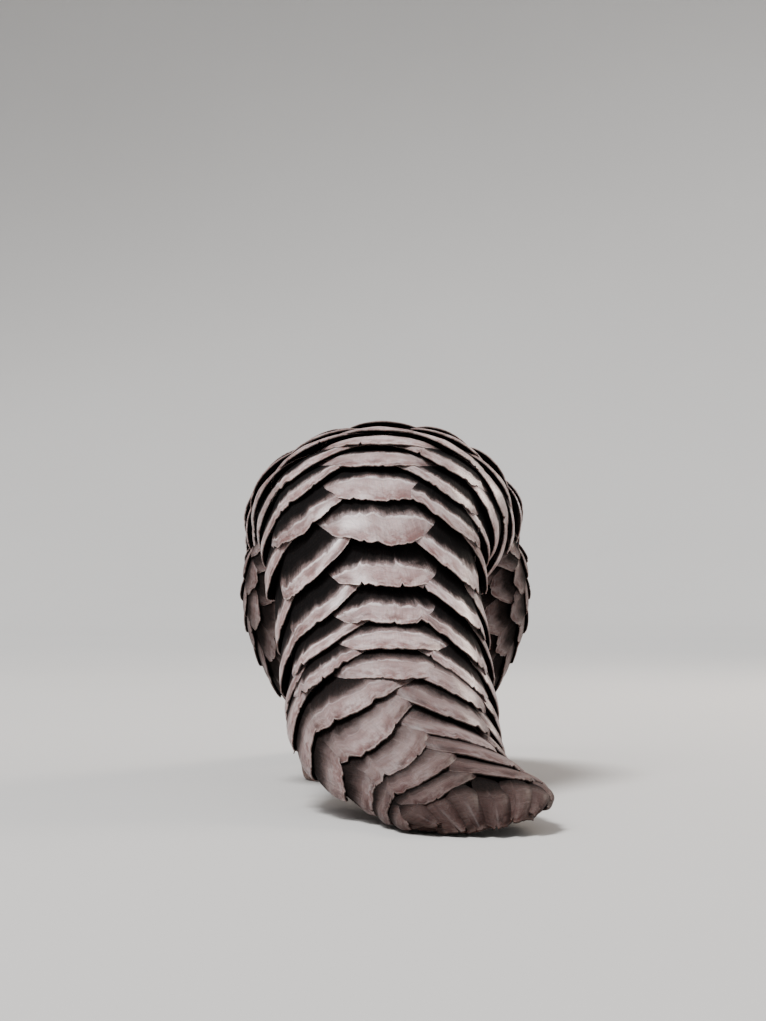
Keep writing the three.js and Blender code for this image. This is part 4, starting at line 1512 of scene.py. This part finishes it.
@dataclass
class Eye:
    """An eyeball with a domed front: a ball whose front swells by a bell round its axis."""

    head: Form
    side: Side
    section: float = 16.9
    angle: float = 64.0
    radius: float = 4.6
    sunk: float = 0.25
    rings: int = 32
    sides: int = 48
    lid_sides: int = 64
    # Half the opening forward, up and down, and where the lids' outer border lies, in degrees.
    lid_slopes: tuple[float, float, float, float] = (56.0, 33.0, 27.0, 112.0)

    def axes(self) -> tuple[np.ndarray, np.ndarray, np.ndarray, np.ndarray]:
        """The eye's centre, the way out of it, the way forward and the way up along the face."""
        turn, along = self.side.value * self.angle, self.head.distance(self.section)
        centre = self.head.point(along, turn, -self.sunk * self.radius)
        out = unit(self.head.point(along, turn, 10.0) - centre)
        ahead = self.head.point(along + 1.0, turn, 0.0) - self.head.point(along - 1.0, turn, 0.0)
        ahead = unit(ahead - out * (ahead @ out))
        upward = np.cross(out, ahead)
        return centre, out, ahead, upward * (1.0 if upward[2] > 0 else -1.0)

    def dome(self, turn: np.ndarray, slope: np.ndarray, radius: np.ndarray) -> np.ndarray:
        """Points about the eye: centre + out * radius * cos(slope) + rim(turn) * radius * sin(slope).

        Args:
            turn: Angles round the way out, from the way forward.
            slope: Angles off the way out.
            radius: Distances from the centre.

        Returns:
            An array of points.
        """
        centre, out, ahead, upward = self.axes()
        rim = ahead * np.cos(turn)[..., None] + upward * np.sin(turn)[..., None]
        return centre + out * (radius * np.cos(slope))[..., None] + rim * (radius * np.sin(slope))[..., None]

    def surface(self) -> Surface:
        """The eyeball, with the attribute ring, 0 at its middle and 1 at its equator."""
        centre, out, _, _ = self.axes()
        slope = np.linspace(0, np.pi, self.rings + 1)[1:-1, None]
        turn = np.linspace(0, 2 * np.pi, self.sides, endpoint=False)[None, :]
        points = self.dome(turn, slope, self.radius * (1 + 0.05 * bell(slope, 0.42)))
        poles = np.stack([centre + out * self.radius * 1.05, centre - out * self.radius])
        ring = np.clip(np.broadcast_to(slope / (np.pi / 2), points.shape[:2]), 0, 1)
        return Surface.tube(points, poles, "ring", np.concatenate([ring.ravel(), [0.0, 1.0]]))

    def build(self, finish: bpy.types.Material) -> bpy.types.Object:
        """Makes the eye in place of its solid.

        Args:
            finish: The eye material.

        Returns:
            The finished object.
        """
        piece = self.surface().to_object(f"eyeball_{self.side.word}", sharp=80.0)
        return dressed(piece, finish, [f"eye_{self.side.word}"])

    def lids(self) -> Surface:
        """The lids: a shell just over the ball round an almond-shaped opening, thick at its rim.

        Around the turn t the opening's slope is the smaller the nearer t is to up or down. The profile
        runs on the outside from the face to the rim and back on the inside.

        Returns:
            A closed surface with the attribute bare.
        """
        turn = np.linspace(0, 2 * np.pi, self.lid_sides, endpoint=False)[None, :]
        open_wide, open_up, open_down, border = np.radians(self.lid_slopes)
        tall = np.where(np.sin(turn) > 0, open_up, open_down)
        opening = tall + (open_wide - tall) * np.abs(np.cos(turn)) ** 2.6
        outer = np.linspace(0, 1, 12)[:, None]
        inner = np.linspace(1, 0, 5)[:, None]
        share = np.concatenate([outer, inner])
        slope = border + (opening - border) * share
        fold = bell(outer - 0.80, 0.09) * 0.75 + bell(outer - 0.45, 0.07) * 0.4
        outside = 1.15 + fold - 0.6 * smooth(outer, 0.85, 1.0) - 1.6 * smooth(outer, 0.25, 0.0)
        radius = self.radius + np.concatenate([outside, np.full(inner.shape, 0.12)])
        points = self.dome(turn, slope, radius).reshape(-1, 3)
        faces = grid_quads(len(share), self.lid_sides, round_rows=True, round_columns=True)
        return Surface(points, faces, {"bare": np.ones(len(points))}).outward()


@dataclass
class Ear:
    """A low ear: a thick fold of skin bent round the hollow of the ear's opening, open to the face."""

    head: Form
    side: Side
    section: float = 15.75
    angle: float = 82.0
    height: float = 16.0
    thickness: float = 5.0
    rings: int = 40
    sides: int = 18
    arc: float = 224.0

    def surface(self) -> Surface:
        """The fold's section is a rounded ridge, swept round an arc on the head.

        Returns:
            A closed surface with the attribute bare.
        """
        along = float(self.head.distance(self.section))
        girth = float(self.head.sections_at(self.section)[4])
        share = np.linspace(0, 1, self.rings)[:, None]
        turn = np.radians(self.arc * (share - 0.5))
        thick = self.thickness / 2 * (0.35 + 0.65 * np.sin(np.pi * share) ** 0.7)
        profile = np.linspace(0, 2 * np.pi, self.sides, endpoint=False)[None, :]
        ridge = (3.9 + 0.8 * np.sin(np.pi * share)) * np.cos(profile)
        lift = 0.4 + ridge * np.sin(np.pi * np.clip(share, 0.04, 0.96)) ** 0.35
        reach = self.height / 2 + thick * np.sin(profile)
        aside = np.degrees(reach * np.sin(turn) / girth)
        angle = self.side.value * (self.angle - aside)
        points = self.head.point(along - 0.7 * reach * np.cos(turn), angle, lift)
        ends = points[[0, -1]].mean(1)
        return Surface.tube(points, ends, "bare", np.ones(points[..., 0].size + 2))


# Section numbers between which each node of the body lies.
BODY_CUTS = {
    "head": (15.0, 21.0),
    "neck": (13.6, 15.0),
    "torso_front": (11.2, 13.6),
    "torso_rear": (8.3, 11.2),
    "tail_base": (6.1, 8.3),
    "tail_middle": (3.9, 6.1),
    "tail_end": (0.0, 3.9),
}


@dataclass(frozen=True)
class FaceForm:
    """A rounded form on both sides of the face, a bell of the distance from its place.

    height is below 0 for a hollow. section and angle give its place, width its width, and stretch how
    much longer than wide it is. With a ring above 0 it is a rim at that distance from its place.
    """

    height: float
    section: float
    angle: float
    width: float
    stretch: float = 1.0
    ring: float = 0.0


# Eye socket, brow, cheek, the hollow before the eye, nostril and the nostril's rim.
FACE_FORMS = (
    FaceForm(-2.4, 16.9, 64.0, 3.4, 1.25),
    FaceForm(1.3, 16.95, 38.0, 4.0, 1.5),
    FaceForm(0.9, 17.2, 92.0, 5.0, 1.6),
    FaceForm(-0.8, 17.8, 62.0, 3.4, 2.0),
    FaceForm(-2.3, 20.05, 50.0, 1.15),
    FaceForm(0.7, 20.05, 50.0, 0.8, ring=2.2),
)


@dataclass
class Skin:
    """The whole skin in one piece: body, legs and ears, joined, with the face's forms and the feet's toes."""

    body: Form
    layout: BodyScales
    columns: int = 128
    leg_columns: int = 96
    inset: float = 0.4
    starts: float = 76.0
    head_from: float = 15.2
    mouth_angle: float = 112.0
    mouth_from: float = 18.2
    mouth_to: float = 19.75

    def face_height(self, s: np.ndarray, angle: np.ndarray) -> np.ndarray:
        """Relief of the face: the sum of its forms, with the mouth's line between two raised lips.

        The distance from a form's place is measured along the body and round it, and the mouth is a
        groove along one angle from mouth_from to mouth_to, closed across the front.

        Args:
            s: Distances along the top line.
            angle: Angles round the form.

        Returns:
            Heights to add to the surface.
        """
        form = self.body
        girth = form.sections_at(form.place(s))[4]
        aside = np.abs(angle)
        height = np.zeros(np.broadcast_shapes(s.shape, angle.shape))
        for part in FACE_FORMS:
            along = (s - form.distance(part.section)) / part.stretch
            away = np.hypot(along, np.radians(aside - part.angle) * girth)
            height += part.height * bell(away - part.ring, part.width)
        start, end = form.distance(self.mouth_from), form.distance(self.mouth_to)
        run = smooth(s, start - 1.5, start + 1.5) * smooth(s, end + 2.0, end - 0.5)
        line = np.radians(aside - self.mouth_angle) * girth
        height += run * (0.75 * bell(line + 2.0, 1.2) + 0.55 * bell(line - 1.7, 1.1) - 1.5 * bell(line, 0.5))
        front = smooth(aside, self.mouth_angle - 6.0, self.mouth_angle + 4.0)
        return height - 1.3 * front * bell(s - end, 0.55)

    def body_surface(self) -> Surface:
        """The body from tail to snout as rings that lie closer together on the head.

        Returns:
            A closed surface with the attribute bare.
        """
        form = self.body
        head = float(form.distance(self.head_from))
        back = np.arange(self.starts, head, 4.0)
        front = np.linspace(head, form.length - 0.15, 190)
        s = np.concatenate([back, front])[:, None]
        angle = np.linspace(0, 360, self.columns, endpoint=False)[None, :]
        angle = np.where(angle > 180, angle - 360, angle)
        lowest = read(self.layout.lowest_angles, s)
        bare = smooth(np.abs(angle) - lowest, -9.0, 3.0)
        on_face = smooth(s, form.distance(17.0), form.distance(18.4))
        bare = np.maximum(bare, on_face)
        relief = self.face_height(s, angle) * smooth(s, head, head + 20.0)
        points = form.point(s, angle, relief - self.inset * (1 - bare))
        points[..., 2] = np.maximum(points[..., 2], 0.3)
        shown = np.concatenate([np.broadcast_to(bare, points.shape[:2]).ravel(), [0.0, 1.0]])
        return Surface.tube(points, points[[0, -1]].mean(1), "bare", shown)

    def leg_surface(self, leg: Leg) -> Surface:
        """A leg from its flat sole up into the body, with a toe behind each claw and creases above.

        Args:
            leg: The leg.

        Returns:
            A closed surface with the attribute bare.
        """
        form = leg.form()
        s = np.concatenate([np.linspace(0.0, 3.0, 6), np.arange(4.0, form.length, 2.4)])[:, None]
        angle = np.linspace(0, 360, self.leg_columns, endpoint=False)[None, :]
        s, angle = np.broadcast_arrays(s, angle)
        plain = form.point(s, angle, 0.0)
        toes = np.zeros(s.shape)
        claws = Claws(leg)
        for claw in claws.claws():
            gap = np.linalg.norm((plain - claws.base(claw)) * [1.0, 0.55, 0.8], axis=-1)
            toes += (3.4 if leg.hind else 2.6) * bell(gap, 4.2 if leg.hind else 3.6)
        sole = -2.2 * (1.0 - smooth(s, 0.0, 4.0)) ** 2
        creases = 0.5 * np.sin(s * 0.62 + 1.5 * np.sin(np.radians(angle) * 2)) * smooth(s, 9.0, 16.0)
        points = form.point(s, angle, toes + sole + creases)
        points[0, :, 2] = 0.0
        points[..., 2] = np.maximum(points[..., 2], 0.0)
        around = np.abs((angle + 180.0) % 360.0 - 180.0)
        rear = angle * -leg.side.value % 360.0 < 180.0
        covered = smooth(around - np.where(rear, 40.0, 0.0), 92.0, 74.0)
        covered = covered * smooth(s, leg.lowest - 6.0, leg.lowest + 4.0)
        shown = np.concatenate([(1.0 - covered).ravel(), [1.0, 1.0]])
        return Surface.tube(points, points[[0, -1]].mean(1), "bare", shown)

    def build(self, finish: bpy.types.Material, eyes: Sequence[Eye], ears: Sequence[Ear]) -> bpy.types.Object:
        """Joins body, legs and ears into one closed skin, and adds the lids.

        Args:
            finish: The skin material.
            eyes: The eyes that need lids.
            ears: The ears.

        Returns:
            The finished skin.
        """
        skin = self.body_surface().to_object("skin", sharp=70.0)
        parts = [self.leg_surface(leg) for leg in LEGS] + [ear.surface() for ear in ears]
        for part in parts:
            other = part.to_object("part", sharp=70.0)
            union = skin.modifiers.new("union", "BOOLEAN")
            union.operation, union.solver, union.object = "UNION", "MANIFOLD", other
            apply_modifiers(skin)
            bpy.data.objects.remove(other)
        lids = Surface.joined([eye.lids() for eye in eyes]).to_object("lids", sharp=70.0)
        merge(skin, lids)
        nodes = [*BODY_CUTS, *(leg.node for leg in LEGS), *(f"ear_{ear.side.word}" for ear in ears)]
        return dressed(skin, finish, nodes)


def apply_modifiers(piece: bpy.types.Object) -> None:
    """Puts a piece's modifiers into its mesh."""
    graph = bpy.context.evaluated_depsgraph_get()
    mesh = bpy.data.meshes.new_from_object(piece.evaluated_get(graph), depsgraph=graph)
    piece.modifiers.clear()
    old, piece.data = piece.data, mesh
    bpy.data.meshes.remove(old)


def merge(piece: bpy.types.Object, other: bpy.types.Object) -> None:
    """Joins another object's mesh into a piece and removes the other."""
    with bpy.context.temp_override(active_object=piece, selected_editable_objects=[piece, other]):
        bpy.ops.object.join()


@dataclass
class Bristles:
    """Sparse bristles: three-sided cones that bend toward the tail, rooted in the bare skin."""

    body: Form
    layout: BodyScales
    count: int = 900
    length: tuple[float, float] = (6.0, 16.0)
    width: float = 0.16
    steps: int = 5

    def surface(self) -> Surface:
        """Each cone's line is root + out * rise(t) - along * length * t^1.3, thinning to its tip.

        Returns:
            Closed cones with the attribute grown.
        """
        rng = np.random.default_rng([SEED, 9])
        s = rng.uniform(410.0, self.body.length - 8.0, self.count)
        lowest = read(self.layout.lowest_angles, s)
        angle = lowest + 4.0 + (176.0 - lowest) * rng.uniform(0, 1, self.count) ** 0.9
        angle = (angle * rng.choice([-1, 1], self.count))[:, None]
        long = rng.uniform(*self.length, self.count) * np.where(s > 860, 0.45, 1.0)
        t = np.linspace(0, 1, self.steps)[None, :]
        lift = -0.5 + (0.55 * long[:, None] + 0.5) * np.sin(t * 1.5)
        back = long[:, None] * t**1.3 * 0.8
        wander = rng.uniform(-4, 4, self.count)[:, None] * t**2
        s = s[:, None]
        line = self.body.point(s - back, angle + wander, lift)
        root = self.body.point(s, angle, 0.0)
        aside = unit(self.body.point(s, angle + 3.0, 0.0) - root)
        out = unit(self.body.point(s, angle, 5.0) - root)
        turn = np.linspace(0, 2 * np.pi, 3, endpoint=False)[None, None, :, None]
        thick = (self.width * (1 - 0.9 * t))[..., None, None]
        ring = aside[:, :, None, :] * np.cos(turn) + out[:, :, None, :] * np.sin(turn)
        points = line[:, :, None, :] + thick * ring
        points[..., 2] = np.maximum(points[..., 2], 0.2)
        quads = grid_quads(self.steps, 3, round_columns=True)
        size = self.steps * 3
        caps = np.array([[0, 2, 1, -1], [size - 3, size - 2, size - 1, -1]])
        faces = np.concatenate([quads, caps])
        every = np.where(faces < 0, -1, faces + (np.arange(self.count) * size)[:, None, None])
        grown = np.broadcast_to(t[..., None], (self.count, self.steps, 3))
        return Surface(points.reshape(-1, 3), every.reshape(-1, 4), {"grown": grown.ravel()}).outward()

    def build(self, finish: bpy.types.Material) -> bpy.types.Object:
        """Makes the bristles, which replace no solid."""
        return dressed(self.surface().to_object("bristles"), finish, [])


@dataclass
class Lamp:
    """A soft square light: its place, what it looks at, its side, power and colour."""

    name: str
    place: tuple[float, float, float]
    power: float
    side: float
    colour: tuple[float, float, float]
    target: tuple[float, float, float] = (0.0, -0.05, 0.13)

    def build(self) -> None:
        """Makes the light."""
        data = bpy.data.lights.new(self.name, "AREA")
        data.energy, data.size, data.color = self.power, self.side, self.colour
        lamp = bpy.data.objects.new(self.name, data)
        bpy.context.scene.collection.objects.link(lamp)
        lamp.location = self.place
        away = Vector(self.place) - Vector(self.target)
        lamp.rotation_euler = away.to_track_quat("Z", "Y").to_euler()


@dataclass
class Studio:
    """The pale floor, the soft lights and the camera, which looks along +Y from low behind the tail."""

    camera_back: float = 2050.0
    camera_height: float = 167.0
    tilt: float = 1.05
    lens: float = 95.4
    sensor: float = 36.0
    floor_radius: float = 5.0
    rounding: float = 2.5
    wall: float = 5.0
    floor_sides: int = 128
    sky: Colour = (0.93, 0.95, 1.0, 1)
    sky_power: float = 0.50
    sun_power: float = 4.0
    sun_spread: float = 18.0
    sun_from: tuple[float, float, float] = (-0.34, -0.06, 1.0)

    def floor(self) -> None:
        """Makes the floor, which isn't part of the object: a disc that curves up into a round wall.

        Its profile is level out to floor_radius, a quarter circle of radius rounding, then upright.
        """
        arc = np.linspace(0, np.pi / 2, 24)
        out = np.concatenate([[0.5 * self.floor_radius], self.floor_radius + self.rounding * np.sin(arc)])
        up = np.concatenate([[0.0], self.rounding * (1 - np.cos(arc))])
        out, up = np.append(out, out[-1]), np.append(up, self.wall)
        turn = np.linspace(0, 2 * np.pi, self.floor_sides, endpoint=False)
        rings = [out[:, None] * np.cos(turn), out[:, None] * np.sin(turn), up[:, None] + 0 * turn]
        points = np.concatenate([np.stack(rings, -1).reshape(-1, 3), np.zeros((1, 3))]) / METRES
        sides = grid_quads(len(out), self.floor_sides, round_columns=True)
        middle = fan(len(points) - 1, np.arange(self.floor_sides))
        bowl = Surface(points, np.concatenate([sides, middle])).to_object("floor")
        bowl.data.materials.append(FloorFinish().build())

    def lights(self) -> None:
        """Makes the sky and the lamps."""
        world = bpy.data.worlds.new("studio")
        bpy.context.scene.world = world
        world.use_nodes = True
        background = world.node_tree.nodes["Background"]
        background.inputs["Color"].default_value = self.sky
        background.inputs["Strength"].default_value = self.sky_power
        sun = bpy.data.lights.new("overhead", "SUN")
        sun.energy, sun.angle = self.sun_power, math.radians(self.sun_spread)
        overhead = bpy.data.objects.new("overhead", sun)
        bpy.context.scene.collection.objects.link(overhead)
        overhead.rotation_euler = Vector(self.sun_from).to_track_quat("Z", "Y").to_euler()
        lamps = (
            Lamp("key", (-1.2, -1.5, 2.1), 20.0, 1.0, (1.0, 0.98, 0.97)),
            Lamp("back", (1.3, 1.5, 1.25), 28.0, 0.7, (1.0, 0.86, 0.74)),
        )
        for lamp in lamps:
            lamp.build()

    def camera(self) -> None:
        """Places the camera."""
        data = bpy.data.cameras.new("camera")
        data.lens, data.sensor_width, data.clip_end = self.lens, self.sensor, 100.0
        camera = bpy.data.objects.new("camera", data)
        bpy.context.scene.collection.objects.link(camera)
        back = BOX_SHIFT[1] - self.camera_back
        camera.location = (0.0, back * METRES, self.camera_height * METRES)
        camera.rotation_euler = (math.radians(90.0 + self.tilt), 0.0, 0.0)
        bpy.context.scene.camera = camera

    def build(self) -> None:
        """Makes all of it."""
        self.floor()
        self.lights()
        self.camera()
        log.info("studio: floor, lights and camera")


@dataclass
class Pangolin:
    """The whole animal: its scales node by node, skin, eyes, ears, claws and bristles.

    fine, coarser and on_legs hold the columns, rows and rows of the underside of one scale.
    """

    body: Form = field(default_factory=lambda: Form(BODY_SECTIONS, (0, 0, 1)))
    root_share: float = 0.7
    fine: tuple[int, int, int] = (72, 18, 6)
    coarser: dict[str, tuple[int, int, int]] = field(
        default_factory=lambda: {"head": (26, 11, 4), "neck": (48, 14, 5)}
    )
    on_legs: tuple[int, int, int] = (34, 13, 5)

    def body_coats(self, layout: BodyScales) -> list[ScaleCoat]:
        """Deals the body's scales out to the nodes that hold their roots.

        Args:
            layout: The body's layout of scales.

        Returns:
            One coat for each node of the body.
        """
        scales = layout.layout()
        roots = self.body.place(np.array([c.s + self.root_share * c.length for c in scales]))
        coats = []
        for node, (start, end) in BODY_CUTS.items():
            low = -1.0 if start == 0.0 else start
            high = self.body.last + 1.0 if node == "head" else end
            mine = [c for c, u in zip(scales, roots) if low <= u < high]
            coats.append(ScaleCoat(node, self.body, mine, *self.coarser.get(node, self.fine)))
        return coats

    def build(self) -> None:
        """Builds and dresses every piece."""
        horn, claw_horn = HornFinish().build(), ClawFinish().build()
        layout = BodyScales(self.body)
        for coat in self.body_coats(layout):
            coat.build(horn)
        for leg in LEGS:
            ScaleCoat(leg.node, leg.form(), leg.scales(), *self.on_legs, edge_thickness=0.8).build(horn)
            Claws(leg).build(claw_horn)
        eyes = [Eye(self.body, side) for side in Side]
        ears = [Ear(self.body, side) for side in Side]
        eye_finish = EyeFinish().build()
        for eye in eyes:
            eye.build(eye_finish)
        Skin(self.body, layout).build(SkinFinish().build(), eyes, ears)
        Bristles(self.body, layout).build(BristleFinish().build())


def main() -> None:
    """Builds the studio and the animal, in order."""
    logging.basicConfig(level=logging.INFO, format="%(name)s: %(message)s")
    Studio().build()
    Pangolin().build()


if __name__ == "__main__":
    main()
